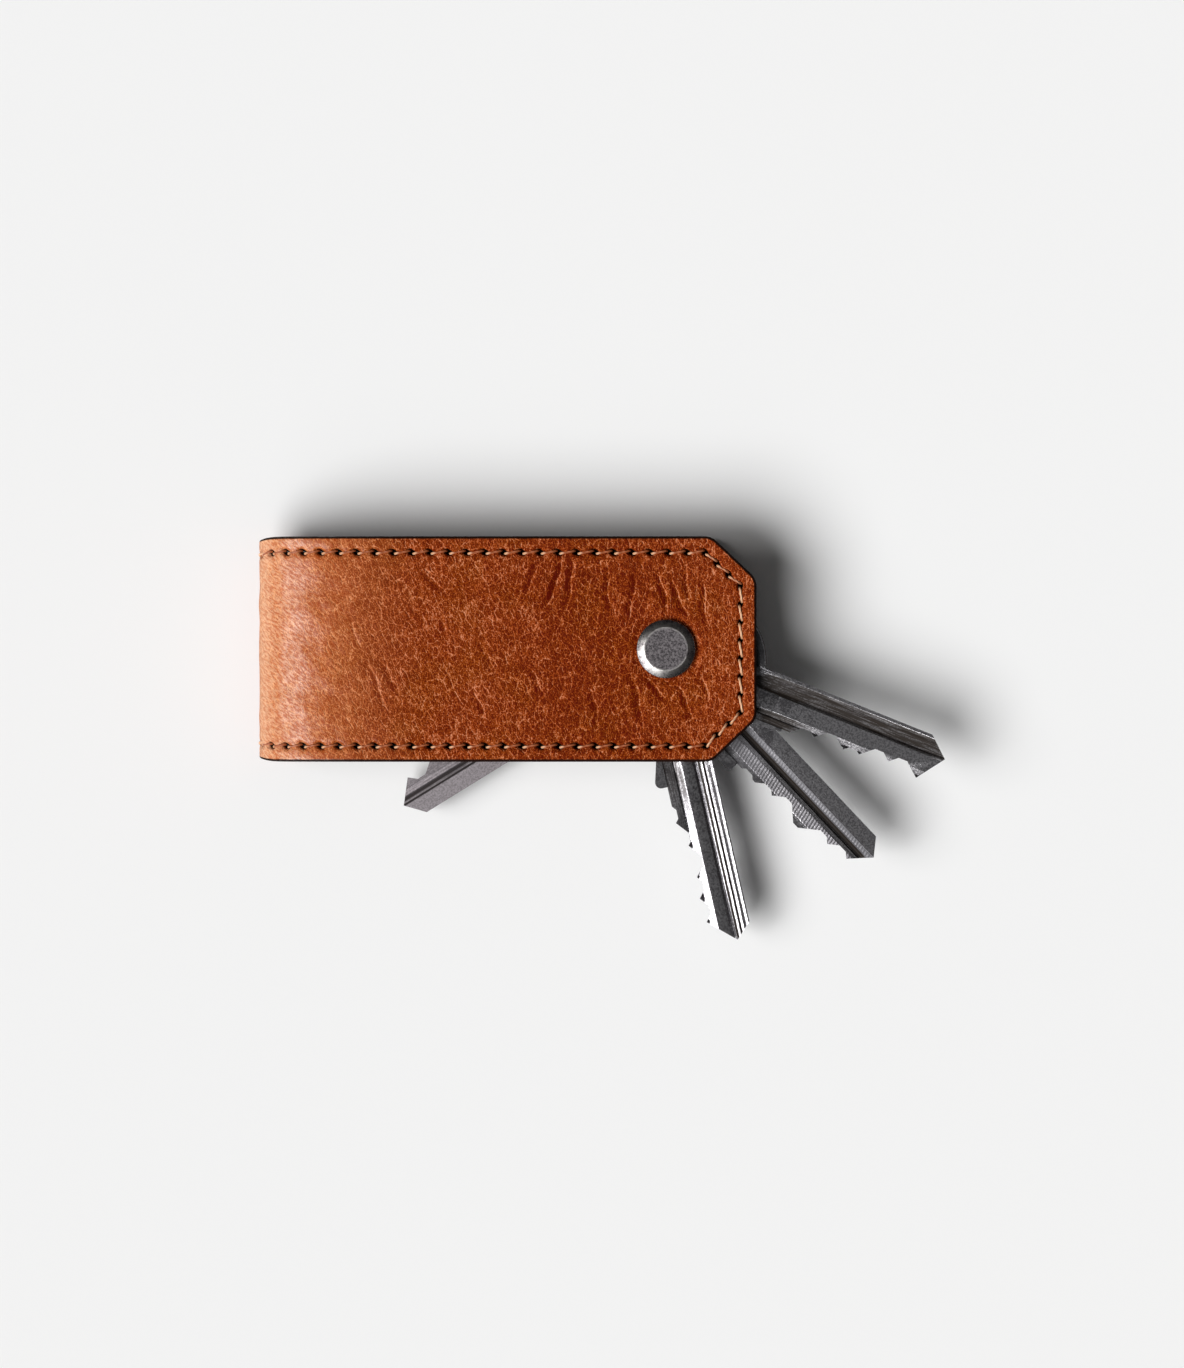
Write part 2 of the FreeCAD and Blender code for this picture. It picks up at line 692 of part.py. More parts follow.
def main():
    """Build every sub-part, check the document and write the shapes."""
    parts = [
        outer_leather(),
        lining_leather(),
        seam_stitches("outer_stitches", "0", 1),
        seam_stitches("lining_stitches", LEAF, -1),
        post_barrel(),
        post_screw(),
    ]
    parts += [washer(place) for place in range(1, WASHER_COUNT + 1)]
    parts += [key(name, place) for place, name in enumerate(KEY_NAMES, start=1)]
    doc.recompute()
    check_document(parts)
    os.makedirs("parts", exist_ok=True)
    for part in parts:
        part.Shape.exportStep(f"parts/{part.Label}.step")
        box = part.Shape.BoundBox
        print(f"{part.Label}: {len(part.Shape.Solids)} solids, {part.Shape.Volume:.1f} mm3, "
              f"x {box.XMin:.2f} to {box.XMax:.2f}, y {box.YMin:.2f} to {box.YMax:.2f}, "
              f"z {box.ZMin:.2f} to {box.ZMax:.2f}")


main()
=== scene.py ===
import logging
import math
from dataclasses import dataclass, field
from enum import Enum
from functools import cached_property
from typing import TypeAlias

import bmesh
import bpy
import numpy as np
from numpy.typing import NDArray
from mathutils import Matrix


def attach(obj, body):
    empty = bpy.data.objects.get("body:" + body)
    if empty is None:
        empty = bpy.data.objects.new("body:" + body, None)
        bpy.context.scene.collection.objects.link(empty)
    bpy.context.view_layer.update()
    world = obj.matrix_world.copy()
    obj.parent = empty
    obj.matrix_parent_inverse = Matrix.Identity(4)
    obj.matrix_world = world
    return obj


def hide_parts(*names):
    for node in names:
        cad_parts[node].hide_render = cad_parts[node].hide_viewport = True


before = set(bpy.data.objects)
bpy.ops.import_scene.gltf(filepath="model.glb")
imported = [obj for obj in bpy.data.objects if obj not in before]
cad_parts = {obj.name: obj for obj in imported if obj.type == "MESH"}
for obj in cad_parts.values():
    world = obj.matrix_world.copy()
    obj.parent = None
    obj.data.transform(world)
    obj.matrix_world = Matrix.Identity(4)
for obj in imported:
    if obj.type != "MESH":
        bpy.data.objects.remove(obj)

Array = NDArray[np.float64]
Numbers = NDArray[np.int64]
Faces = list[list[int]]
Floats = tuple[float, ...]
Pair = tuple[float, float]
Triple = tuple[float, float, float]
Value: TypeAlias = "Signal | float | Floats"

MM = 0.001

# Points of a mesh closer than this are one, in millimetres.
MERGE_REACH = 0.002
# Angles in degrees between faces of a CAD copy: joined below the first, rounded above the second and
# left sharp above the third.
FLAT_ANGLE = 0.6
BEVEL_ANGLE = 22.0
SHARP_ANGLE = 25.0
# Runs of the strap's outline along one long side: a cut corner, the side and another cut corner.
SIDE_RUNS = 3

log = logging.getLogger("key_case")


class Slot(Enum):
    """Material slots of the record."""

    TAN_LEATHER = "tan_leather"
    LINING_LEATHER = "lining_leather"
    THREAD = "thread"
    POST_METAL = "post_metal"
    KEY_METAL = "key_metal"
    WASHER_PLASTIC = "washer_plastic"


class Side(Enum):
    """Which side of a leather layer shows: its sign is the way that its relief rises."""

    OUTSIDE = 1
    INSIDE = -1


class Signal:
    """A shader socket whose arithmetic adds Math nodes to its tree."""

    def __init__(self, graph: "Graph", socket: bpy.types.NodeSocket) -> None:
        """Wrap an output socket of a tree."""
        self.graph = graph
        self.socket = socket

    def _math(self, operation: str, first: Value, second: Value = 0.0) -> "Signal":
        """Result of one Math node."""
        return self.graph.node("ShaderNodeMath", {"operation": operation}, {0: first, 1: second})

    def __add__(self, other: Value) -> "Signal":
        """Sum."""
        return self._math("ADD", self, other)

    def __radd__(self, other: Value) -> "Signal":
        """Sum, with a number first."""
        return self._math("ADD", other, self)

    def __sub__(self, other: Value) -> "Signal":
        """Difference."""
        return self._math("SUBTRACT", self, other)

    def __rsub__(self, other: Value) -> "Signal":
        """Difference, with a number first."""
        return self._math("SUBTRACT", other, self)

    def __mul__(self, other: Value) -> "Signal":
        """Product."""
        return self._math("MULTIPLY", self, other)

    def __rmul__(self, other: Value) -> "Signal":
        """Product, with a number first."""
        return self._math("MULTIPLY", other, self)

    def __abs__(self) -> "Signal":
        """Size of the value, without its sign."""
        return self._math("ABSOLUTE", self)

    def most(self, other: Value) -> "Signal":
        """The larger of two values."""
        return self._math("MAXIMUM", self, other)

    def sine(self) -> "Signal":
        """Sine of the value."""
        return self._math("SINE", self)

    def fade(self, low: float, high: float) -> "Signal":
        """Smooth step from 0 at one value to 1 at another.

        Args:
            low: where the step gives 0.
            high: where it gives 1, which may be the smaller of the two.

        Returns:
            The step.
        """
        if low > high:
            return 1 - self.fade(high, low)
        return self.graph.node(
            "ShaderNodeMapRange",
            {"interpolation_type": "SMOOTHSTEP"},
            {"Value": self, "From Min": low, "From Max": high},
        )


class Graph:
    """A material's node tree, with one shader in it."""

    def __init__(self, name: str, settings: dict[str, object]) -> None:
        """Start a material.

        Args:
            name: the material's name.
            settings: values that are the same all over the surface, by the shader's socket.
        """
        self.material = bpy.data.materials.new(name)
        self.material.use_nodes = True
        self.tree = self.material.node_tree
        self.shader = self.tree.nodes["Principled BSDF"]
        for socket, value in settings.items():
            self.shader.inputs[socket].default_value = value

    def node(
        self, kind: str, settings: dict[str, object], inputs: dict[int | str, Value], output: int | str = 0,
    ) -> Signal:
        """Add a node.

        Args:
            kind: the node's type.
            settings: its properties, set first.
            inputs: values or links of its sockets, by number, name or identifier.
            output: the socket to hand on.

        Returns:
            That output.
        """
        node = self.tree.nodes.new(kind)
        for name, value in settings.items():
            setattr(node, name, value)
        for key, value in inputs.items():
            self.feed(self._socket(node.inputs, key), value)
        return Signal(self, self._socket(node.outputs, output))

    @staticmethod
    def _socket(sockets: bpy.types.bpy_prop_collection, key: int | str) -> bpy.types.NodeSocket:
        """Find a socket by its number, name or identifier."""
        named = (socket for socket in sockets if key in (socket.identifier, socket.name))
        return sockets[key] if isinstance(key, int) else next(named)

    def feed(self, socket: bpy.types.NodeSocket, value: Value) -> None:
        """Link or set a socket.

        Args:
            socket: an input socket.
            value: a signal, or a plain number or colour.
        """
        if isinstance(value, Signal):
            self.tree.links.new(value.socket, socket)
        elif isinstance(value, tuple) and len(value) == 3 and socket.type == "RGBA":
            socket.default_value = (*value, 1.0)
        else:
            socket.default_value = value

    def drive(self, socket: str, value: Signal) -> None:
        """Feed one of the shader's sockets with what varies over the surface."""
        self.feed(self.shader.inputs[socket], value)

    def attribute(self, name: str, output: str = "Fac") -> Signal:
        """A value that the mesh carries: Fac gives a number and Vector a place."""
        return self.node("ShaderNodeAttribute", {"attribute_name": name}, {}, output)

    def place(self, turn: float = 0.0) -> Signal:
        """Place on the object in millimetres, along axes turned about Z by an angle in degrees."""
        origin = self.node("ShaderNodeTexCoord", {}, {}, "Object")
        return self.node(
            "ShaderNodeMapping", {},
            {"Vector": origin, "Rotation": (0.0, 0.0, -math.radians(turn)), "Scale": (1 / MM,) * 3},
        )

    def axis(self, place: Signal, name: str) -> Signal:
        """One axis of a place: X, Y or Z."""
        return self.node("ShaderNodeSeparateXYZ", {}, {0: place}, name)

    def stretch(self, place: Signal, scale: Triple) -> Signal:
        """Scale a place by a factor along each axis."""
        return self.node("ShaderNodeVectorMath", {"operation": "MULTIPLY"}, {0: place, 1: scale})

    def lay(self, place: Signal, degrees: float, scale: Pair) -> Signal:
        """Turn a place about its third axis by some degrees, and then scale it along the first two."""
        turn = {"Vector": place, "Rotation": (0.0, 0.0, math.radians(degrees))}
        return self.stretch(self.node("ShaderNodeMapping", {}, turn), (*scale, 1.0))

    def noise(self, place: Signal, scale: float, detail: float = 2.0, roughness: float = 0.5) -> Signal:
        """Soft noise from 0 to 1, by its waves per unit, its octaves and the weight of each to the last."""
        return self.node(
            "ShaderNodeTexNoise", {},
            {"Vector": place, "Scale": scale, "Detail": detail, "Roughness": roughness},
        )

    def stray(self, place: Signal, scale: float, reach: float, detail: float = 2.0) -> Signal:
        """Soft noise about 0, which strays by half its reach to either side."""
        return (self.noise(place, scale, detail) - 0.5) * reach

    def warp(self, place: Signal, scale: float, reach: float, detail: float = 1.0) -> Signal:
        """Push a place about with noise.

        Args:
            place: the place.
            scale: waves of the noise per unit.
            reach: how far it pushes.
            detail: octaves of the noise.

        Returns:
            The moved place.
        """
        noise = {"Vector": place, "Scale": scale, "Detail": detail}
        colour = self.node("ShaderNodeTexNoise", {}, noise, "Color")
        shift = self.node("ShaderNodeVectorMath", {"operation": "SUBTRACT"}, {0: colour, 1: (0.5, 0.5, 0.5)})
        push = {0: shift, 1: (reach, reach, reach), 2: place}
        return self.node("ShaderNodeVectorMath", {"operation": "MULTIPLY_ADD"}, push)

    def cells(self, place: Signal, scale: float = 1.0) -> Signal:
        """Distance to the border between random cells, of which there are scale to a unit."""
        inputs = {"Vector": place, "Scale": scale}
        return self.node("ShaderNodeTexVoronoi", {"feature": "DISTANCE_TO_EDGE"}, inputs, "Distance")

    def ridge(self, place: Signal, width: float) -> Signal:
        """Thin wandering lines, 1 where soft noise crosses its middle and 0 at a width from there."""
        return abs(self.noise(place, 1.0) - 0.5).fade(width, 0.0)

    def blend(self, share: Value, first: Value, second: Value) -> Signal:
        """Mix two colours by the share of the second."""
        return self.node(
            "ShaderNodeMix", {"data_type": "RGBA"},
            {"Factor_Float": share, "A_Color": first, "B_Color": second}, "Result_Color",
        )

    def emboss(self, height: Signal, strength: float) -> None:
        """Raise the surface by a height in millimetres, of which a share shows."""
        bump = self.node("ShaderNodeBump", {}, {"Strength": strength, "Distance": MM, "Height": height})
        self.drive("Normal", bump)


def linear(red: int, green: int, blue: int) -> Triple:
    """Linear colour of an sRGB one, whose parts go from 0 to 255."""
    shares = np.array([red, green, blue]) / 255
    return tuple(np.where(shares <= 0.04045, shares / 12.92, ((shares + 0.055) / 1.055) ** 2.4).tolist())


@dataclass(frozen=True)
class TanLeather:
    """Waxed tan leather: a crackled grain of pale lines round dark cells, with dark painted edges.

    Its wax pales where the leather is stretched, and a painted highlight and a painted sheen lie over it,
    so the strap is lighter round the fold. Lengths are in millimetres from the fold.

    Attributes:
        cell: colour of the grain's cells.
        line: colour of the lines between them.
        amber: colour of the lines in patches.
        crack_glint: colour that the sharpest lines reach, pale cracks in the finish with a painted glint.
        pulled_lit_cell: colour of the cells round the fold, paled wax with a painted highlight.
        pulled_lit_line: colour of the lines there, likewise.
        painted_sheen: colour of the painted sheen on the fold itself.
        paint: colour of the edges.
        hole_shade: painted shade in the stitch holes.
        ground: share of the lines' colour where the skin has no mark.
        marks: name of each mark, its weight in that share, and its height in millimetres.
        pulled_lit_reach: lengths where the paling and the painted highlight end and where they are full.
    """

    cell: Triple = linear(90, 17, 3)
    line: Triple = linear(200, 93, 26)
    amber: Triple = linear(199, 97, 19)
    crack_glint: Triple = linear(236, 190, 160)
    pulled_lit_cell: Triple = linear(178, 79, 25)
    pulled_lit_line: Triple = linear(228, 149, 92)
    painted_sheen: Triple = linear(236, 194, 160)
    paint: Triple = linear(34, 16, 10)
    hole_shade: Triple = linear(14, 5, 2)
    ground: float = 0.19
    # In these marks split is a painted highlight on the lit wall of each fold, and shade and the broad band
    # past the middle are painted shade.
    marks: tuple[tuple[str, float, float], ...] = (
        ("net", 0.17, -0.04), ("web", 0.34, -0.05), ("fine", 1.4, 0.05), ("wrinkle", 0.26, -0.05),
        ("crease", 0.2, -0.05), ("split", 0.3, -0.05), ("shade", -0.36, 0.0), ("hollow_shade", -0.1, 0.0),
        ("streak", 0.28, 0.04),
    )
    pulled_lit_reach: Pair = (32.0, 3.0)

    def grain(self, graph: Graph, skin: Signal, length: Signal) -> dict[str, Signal]:
        """Marks of the grain.

        Args:
            graph: the material's tree.
            skin: flat place on the strap.
            length: length from the fold.

        Returns:
            A net and a web of cell borders, fine specks about 0, wrinkles that stand upright towards the
            end of the strap, and long slanting creases.
        """
        loose = graph.warp(graph.warp(skin, 0.3, reach=0.5), 1.4, reach=0.16)
        patches = graph.noise(skin, 0.25).fade(0.35, 0.65)
        steep, upright = (graph.ridge(graph.lay(loose, lean, (1.0, 0.2)), 0.035) for lean in (-25.0, 6.0))
        by_fold, by_end = length.fade(54.0, 38.0), length.fade(36.0, 52.0)
        slant = graph.lay(graph.warp(skin, 0.22, reach=2.2, detail=2.0), 52.0, (0.1, 0.42))
        broken = graph.noise(skin, 0.3, detail=3.0, roughness=0.6)
        web = graph.cells(graph.lay(loose, -12.0, (1.05, 0.62))).fade(0.1, 0.0)
        return {
            "net": graph.cells(graph.lay(loose, -20.0, (2.3, 1.1))).fade(0.15, 0.0),
            "web": web * (0.55 + patches * 0.45),
            "fine": graph.noise(graph.lay(loose, -20.0, (6.4, 4.0)), 1.0, detail=1.0, roughness=0.6) - 0.5,
            "wrinkle": steep * (0.3 + by_fold * 0.7) + upright * (0.3 + by_end * 0.7),
            "crease": graph.ridge(slant, 0.03) * broken.fade(0.4, 0.6),
        }

    def folds(self, graph: Graph, skin: Signal) -> dict[str, Signal]:
        """Marks along the folds, whose distance aside and depth the mesh carries.

        Args:
            graph: the material's tree.
            skin: flat place on the strap.

        Returns:
            A painted highlight along the lit wall beside each fold, named split, and painted shade on its
            other side.
        """
        fold = graph.attribute("fold", "Vector")
        aside = graph.axis(fold, "X") + graph.stray(skin, 1.2, reach=0.3)
        deep = graph.axis(fold, "Y")
        # split: painted highlight on the lit wall of the fold; shade: painted shade on its other wall.
        return {
            "split": abs(aside - 0.2).fade(0.22, 0.04) * deep.fade(0.05, 0.5),
            "shade": abs(aside + 0.5).fade(0.75, 0.1) * deep,
        }

    def material(self) -> bpy.types.Material:
        """Build the material, which reads the mesh's skin, rim, hole and fold values.

        Returns:
            The material.
        """
        graph = Graph("tan_leather", {"Specular IOR Level": 0.02, "Coat Roughness": 0.28})
        skin = graph.attribute("skin", "Vector")
        hole = graph.attribute("hole")
        from_fold = graph.axis(skin, "X")
        length = abs(from_fold)
        # Share of the fold's colours: paled wax, and a painted highlight where the lamps catch the bend.
        pulled_lit = (length + graph.stray(skin, 0.16, reach=9.0, detail=3.0)).fade(*self.pulled_lit_reach)
        pulled_lit = pulled_lit * from_fold.fade(-5.0, 3.0)
        streak = graph.lay(graph.warp(skin, 0.5, reach=0.4), -57.0, (3.0, 0.9))
        streak = graph.noise(streak, 1.0, detail=1.0).fade(0.36, 0.64)
        marks = {
            **self.grain(graph, skin, length),
            **self.folds(graph, skin),
            # A broad band of painted shade past the middle of each leaf.
            "hollow_shade": length.fade(38.0, 56.0) * length.fade(84.0, 62.0),
            "streak": (streak - 0.5) * pulled_lit,
        }
        share = (self.ground + sum(marks[name] * weight for name, weight, _ in self.marks)).fade(0.0, 1.0)
        tan = graph.blend(graph.noise(skin, 0.09).fade(0.45, 0.65), self.line, self.amber)
        calm = graph.blend(share, self.cell, tan)
        # The sharpest lines whiten towards pale cracks in the finish with a painted glint.
        sharp = share.fade(0.3, 1.1)
        calm = graph.blend(sharp * sharp * 0.38, calm, self.crack_glint)
        # Round the fold the colours are paled wax with a painted highlight.
        stretched = graph.blend(share, self.pulled_lit_cell, self.pulled_lit_line)
        # Painted sheen on the fold itself, broken by the streaks.
        sheen_share = length.fade(15.0, 3.0) * (0.15 + streak * 0.3) + length.fade(6.0, 2.5) * 0.2
        stretched = graph.blend(sheen_share, stretched, self.painted_sheen)
        grained = graph.blend(pulled_lit, calm, stretched)
        ragged = graph.attribute("rim") + graph.stray(skin, 0.9, reach=0.16)
        painted = graph.blend(ragged.fade(0.5, 0.3), grained, self.paint)
        # The stitch holes darken to a painted shade.
        graph.drive("Base Color", graph.blend(hole.fade(0.2, 0.6), painted, self.hole_shade))
        graph.emboss(sum(marks[name] * rise for name, _, rise in self.marks if rise), 0.9)
        graph.drive("Roughness", 0.46 + marks["fine"] * 0.2 + ragged.fade(0.45, 0.2) * 0.1 + hole * 0.3)
        graph.drive("Coat Weight", pulled_lit * length.fade(3.0, 8.0) * (0.36 + streak * 0.6))
        return graph.material


@dataclass(frozen=True)
class LiningLeather:
    """Thin dark brown lining, matt, with a fine pebbled grain and the same painted edges."""

    cell: Triple = linear(92, 52, 30)
    line: Triple = linear(122, 76, 48)
    paint: Triple = linear(34, 16, 10)
    hole_shade: Triple = linear(20, 9, 5)

    def material(self) -> bpy.types.Material:
        """Build the material, which reads the mesh's skin, rim and hole values.

        Returns:
            The material.
        """
        graph = Graph("lining_leather", {"Specular IOR Level": 0.35})
        skin = graph.attribute("skin", "Vector")
        pebble = graph.cells(graph.warp(skin, 0.9, reach=0.7), 1.9)
        fine = graph.noise(skin, 5.0, detail=3.0, roughness=0.6)
        tone = pebble.fade(0.0, 0.25) * 0.6 + fine * 0.6
        grained = graph.blend(tone.fade(0.2, 1.1), self.cell, self.line)
        painted = graph.blend(graph.attribute("rim").fade(0.4, 0.2), grained, self.paint)
        # The stitch holes darken to a painted shade.
        graph.drive("Base Color", graph.blend(graph.attribute("hole").fade(0.25, 0.75), painted, self.hole_shade))
        graph.emboss(pebble.fade(0.0, 0.3) * 0.05 + fine * 0.03, 0.8)
        graph.drive("Roughness", 0.62 + fine * 0.12)
        return graph.material


@dataclass(frozen=True)
class Thread:
    """Waxed two-ply thread: its strands wind round it, and the grooves between them are darker.

    Where it is pressed into the leather it is darker, with dye and painted shade, and only its end towards
    the fold stays pale, as a painted highlight.

    Attributes:
        strand: colour of the strands.
        groove: colour between them.
        dyed_shade: darker colour where it is pressed in, with dye and painted shade.
        twist: how fast the strands wind, in radians per millimetre.
        plies: how many strands there are.
    """

    strand: Triple = linear(246, 204, 166)
    groove: Triple = linear(200, 138, 94)
    dyed_shade: Triple = linear(158, 82, 44)
    twist: float = 5.2
    plies: float = 2.0

    def material(self) -> bpy.types.Material:
        """Build the material, which reads the mesh's own strand value: length, turn and paleness, which
        keeps the painted highlight.

        Returns:
            The material.
        """
        graph = Graph("thread", {"Specular IOR Level": 0.4, "Coat Weight": 0.15, "Coat Roughness": 0.3})
        strand = graph.attribute("strand", "Vector")
        length, turn, pale = (graph.axis(strand, name) for name in "XYZ")
        ply = (length * self.twist + turn * self.plies).sine() * 0.5 + 0.5
        fuzz = graph.noise(graph.stretch(strand, (6.0, 2.0, 1.0)), 1.0)
        clean = graph.blend(ply * 0.75 + fuzz * 0.3, self.groove, self.strand)
        # Pressed parts take the darker colour of dye and painted shade; the pale share keeps a painted
        # highlight.
        graph.drive("Base Color", graph.blend(pale, self.dyed_shade, clean))
        graph.emboss(ply * 0.06 + fuzz * 0.02, 0.8)
        graph.drive("Roughness", 0.34 + fuzz * 0.2)
        return graph.material


@dataclass(frozen=True)
class PostMetal:
    """Blasted gunmetal plating: a peppered flat, worn brighter along its rim."""

    ground: Triple = linear(140, 134, 136)
    speck: Triple = linear(84, 80, 82)
    worn: Triple = linear(214, 210, 206)

    def material(self) -> bpy.types.Material:
        """Build the material, which reads the mesh's worn and polish values.

        Returns:
            The material.
        """
        graph = Graph("post_metal", {"Metallic": 1.0})
        place = graph.place()
        pepper = graph.noise(place, 3.4, detail=3.0, roughness=0.7)
        worn = graph.attribute("worn") * graph.noise(place, 0.7).fade(0.3, 0.6)
        ground = graph.blend(pepper.fade(0.4, 0.6), self.speck, self.ground)
        graph.drive("Base Color", graph.blend(worn, ground, self.worn))
        polish = graph.attribute("polish")
        graph.drive("Roughness", 0.34 + pepper * 0.14 - worn * 0.1 - polish * 0.12)
        graph.emboss(pepper * 0.035 * (1 - polish * 0.7), 0.7)
        return graph.material


@dataclass(frozen=True)
class KeyMetal:
    """Nickel plate with a fine grain, brushed along the blade, with grime and painted shade in the grooves.

    Lengths are in millimetres, along the blade from the post or across it from its middle.

    Attributes:
        name: the key's name.
        angle: the blade's direction in degrees.
        top: height of the blade's front face.
        back_grime_shade: how strong the grime and painted shade in the grooves of the back half are, from 0
            to 1.
        cut_grime_shade: how strong those of the cut half are.
        cut_reach: how far along the grime and painted shade of the cut half go.
        grime_shade_from: depth below the front face where the grime and painted shade begin.
        ribbed: bands across the blade, from and to, where the cutter left its marks.
        rib_pitch: distance between the cutter's marks.
        shaded_corners: places across the blade where a line of painted shade lies in a corner.
        ground: colour of the plate.
        dull: colour of the grain on it.
        head_dark: darker colour towards the head and shoulder.
        grime_and_shade: colour of the grime and painted shade in the grooves.
        corner_shade: colour of the painted shade that lies in a corner.
        rough: roughness of the clean plate.
    """

    name: str
    angle: float
    top: float
    back_grime_shade: float
    cut_grime_shade: float
    cut_reach: float = 25.0
    grime_shade_from: float = 0.03
    ribbed: tuple[Pair, ...] = ()
    rib_pitch: float = 0.57
    shaded_corners: Floats = ()
    ground: Triple = linear(182, 180, 183)
    dull: Triple = linear(112, 110, 113)
    head_dark: Triple = linear(72, 71, 74)
    grime_and_shade: Triple = linear(44, 37, 32)
    corner_shade: Triple = linear(44, 37, 32)
    rough: float = 0.16

    def material(self) -> bpy.types.Material:
        """Build the material in the key's own direction.

        Returns:
            The material.
        """
        graph = Graph(f"{self.name}_metal", {"Specular IOR Level": 0.3})
        place = graph.place(self.angle)
        along, across, height = (graph.axis(place, name) for name in "XYZ")
        depth = self.top - height
        brushed = graph.noise(graph.stretch(place, (0.25, 7.0, 3.0)), 1.0, detail=3.0, roughness=0.6)
        grain = graph.noise(place, 3.2, detail=3.0, roughness=0.7)
        blotch = graph.noise(graph.warp(place, 0.5, reach=1.5), 0.45, detail=3.0, roughness=0.6)
        near_bow, handled = along.fade(29.0, 22.0), along.fade(18.0, 15.5)
        milled = depth.fade(0.05, 0.15)
        band: Value = 0.0
        for low, high in self.ribbed:
            begun, ended = (across - low).fade(-0.1, 0.1), (across - high).fade(-0.1, 0.1)
            band = (begun * (1 - ended)).most(band)
        ribs = ((along + across * 0.25) * (2 * math.pi / self.rib_pitch)).sine() * 0.5 + 0.5
        ribs = ribs * band
        dulled = grain.fade(0.38, 0.62) * 0.8 + blotch.fade(0.45, 0.6) * near_bow * 0.5
        dulled = dulled + ribs * 0.7 + band * 0.2 + brushed.fade(0.4, 0.65) * milled * 0.6
        plate = graph.blend(dulled.fade(0.0, 1.0), self.ground, self.dull)
        # Darker towards the head and shoulder.
        plate = graph.blend(handled * 0.8, plate, self.head_dark)
        # Grime and painted shade in the grooves below the front face.
        half = across.fade(-0.6, 0.4)
        reached = (along - self.cut_reach).fade(4.0, -3.0)
        dirt = half * self.back_grime_shade + (1 - half) * reached * self.cut_grime_shade
        sunk = (depth - self.grime_shade_from).fade(0.0, 0.09) * dirt * (0.62 + brushed.fade(0.36, 0.64) * 0.55)
        # Lines of painted shade along the given corners.
        seam: Value = 0.0
        for middle in self.shaded_corners:
            seam = (abs(across - middle).fade(0.24, 0.16) * milled).most(seam)
        graph.drive("Base Color", graph.blend(seam, graph.blend(sunk, plate, self.grime_and_shade), self.corner_shade))
        sunk = sunk.most(seam)
        graph.drive("Metallic", 1 - sunk * 0.85)
        graph.drive("Roughness", self.rough + grain * 0.14 + sunk * 0.25 + band * 0.12)
        graph.emboss(brushed * 0.012 + grain * 0.014 + ribs * 0.03, 0.8)
        return graph.material


@dataclass(frozen=True)
class WasherPlastic:
    """Black nylon with a faint moulded grain."""

    ground: Triple = linear(30, 30, 31)
    scuff: Triple = linear(58, 58, 60)

    def material(self) -> bpy.types.Material:
        """Build the material.

        Returns:
            The material.
        """
        graph = Graph("washer_plastic", {"Specular IOR Level": 0.4})
        grain = graph.noise(graph.place(), 2.6, detail=3.0, roughness=0.6)
        graph.drive("Base Color", graph.blend(grain.fade(0.5, 0.75), self.ground, self.scuff))
        graph.drive("Roughness", 0.5 + grain * 0.2)
        graph.emboss(grain * 0.02, 0.6)
        return graph.material


@dataclass(frozen=True)
class FloorPaint:
    """Plain pale floor, with the faintest unevenness."""

    pale: Triple = (0.875, 0.875, 0.873)
    shade: Triple = (0.87, 0.87, 0.868)

    def material(self) -> bpy.types.Material:
        """Build the material.

        Returns:
            The material.
        """
        graph = Graph("floor_paint", {"Roughness": 0.9, "Specular IOR Level": 0.1})
        cloud = graph.noise(graph.place(), 0.01)
        graph.drive("Base Color", graph.blend(cloud, self.pale, self.shade))
        return graph.material


def link(name: str, data: bpy.types.ID) -> bpy.types.Object:
    """Put an object into the scene, at the origin.

    Args:
        name: its name.
        data: its mesh, lamp or camera.

    Returns:
        The object.
    """
    piece = bpy.data.objects.new(name, data)
    bpy.context.scene.collection.objects.link(piece)
    return piece


def tidy(mesh: bpy.types.Mesh, sharp: float, flat: float = 0.0) -> None:
    """Merge doubles, turn faces outwards and smooth all but the sharp edges.

    Args:
        mesh: the mesh.
        sharp: angle in degrees above which an edge stays sharp.
        flat: angle in degrees below which neighbouring faces are joined into one, if any.
    """
    work = bmesh.new()
    work.from_mesh(mesh)
    bmesh.ops.remove_doubles(work, verts=work.verts, dist=MERGE_REACH * MM)
    if flat:
        bmesh.ops.dissolve_limit(work, angle_limit=math.radians(flat), verts=work.verts, edges=work.edges)
    bmesh.ops.recalc_face_normals(work, faces=work.faces)
    work.to_mesh(mesh)
    work.free()
    mesh.shade_smooth()
    mesh.set_sharp_from_angle(angle=math.radians(sharp))


@dataclass
class Surface:
    """A mesh in the making, in millimetres.

    Attributes:
        points: place of each point.
        faces: rows of point numbers.
        values: what each point carries for the materials, by name.
    """

    points: Array
    faces: Faces
    values: dict[str, Array] = field(default_factory=dict)

    def build(self, name: str, sharp: float) -> bpy.types.Object:
        """Make the object, with doubles merged and faces turned outwards.

        Args:
            name: the piece's name.
            sharp: angle in degrees above which an edge isn't smoothed.

        Returns:
            The object, at the origin.
        """
        mesh = bpy.data.meshes.new(name)
        mesh.from_pydata((self.points * MM).tolist(), [], self.faces)
        for key, value in self.values.items():
            vector = value.ndim == 2
            attribute = mesh.attributes.new(key, "FLOAT_VECTOR" if vector else "FLOAT", "POINT")
            attribute.data.foreach_set("vector" if vector else "value", value.astype(np.float32).ravel())
        tidy(mesh, sharp)
        return link(name, mesh)


def unit(vectors: Array) -> Array:
    """Vectors of length 1 in the same directions."""
    return vectors / np.linalg.norm(vectors, axis=-1, keepdims=True)


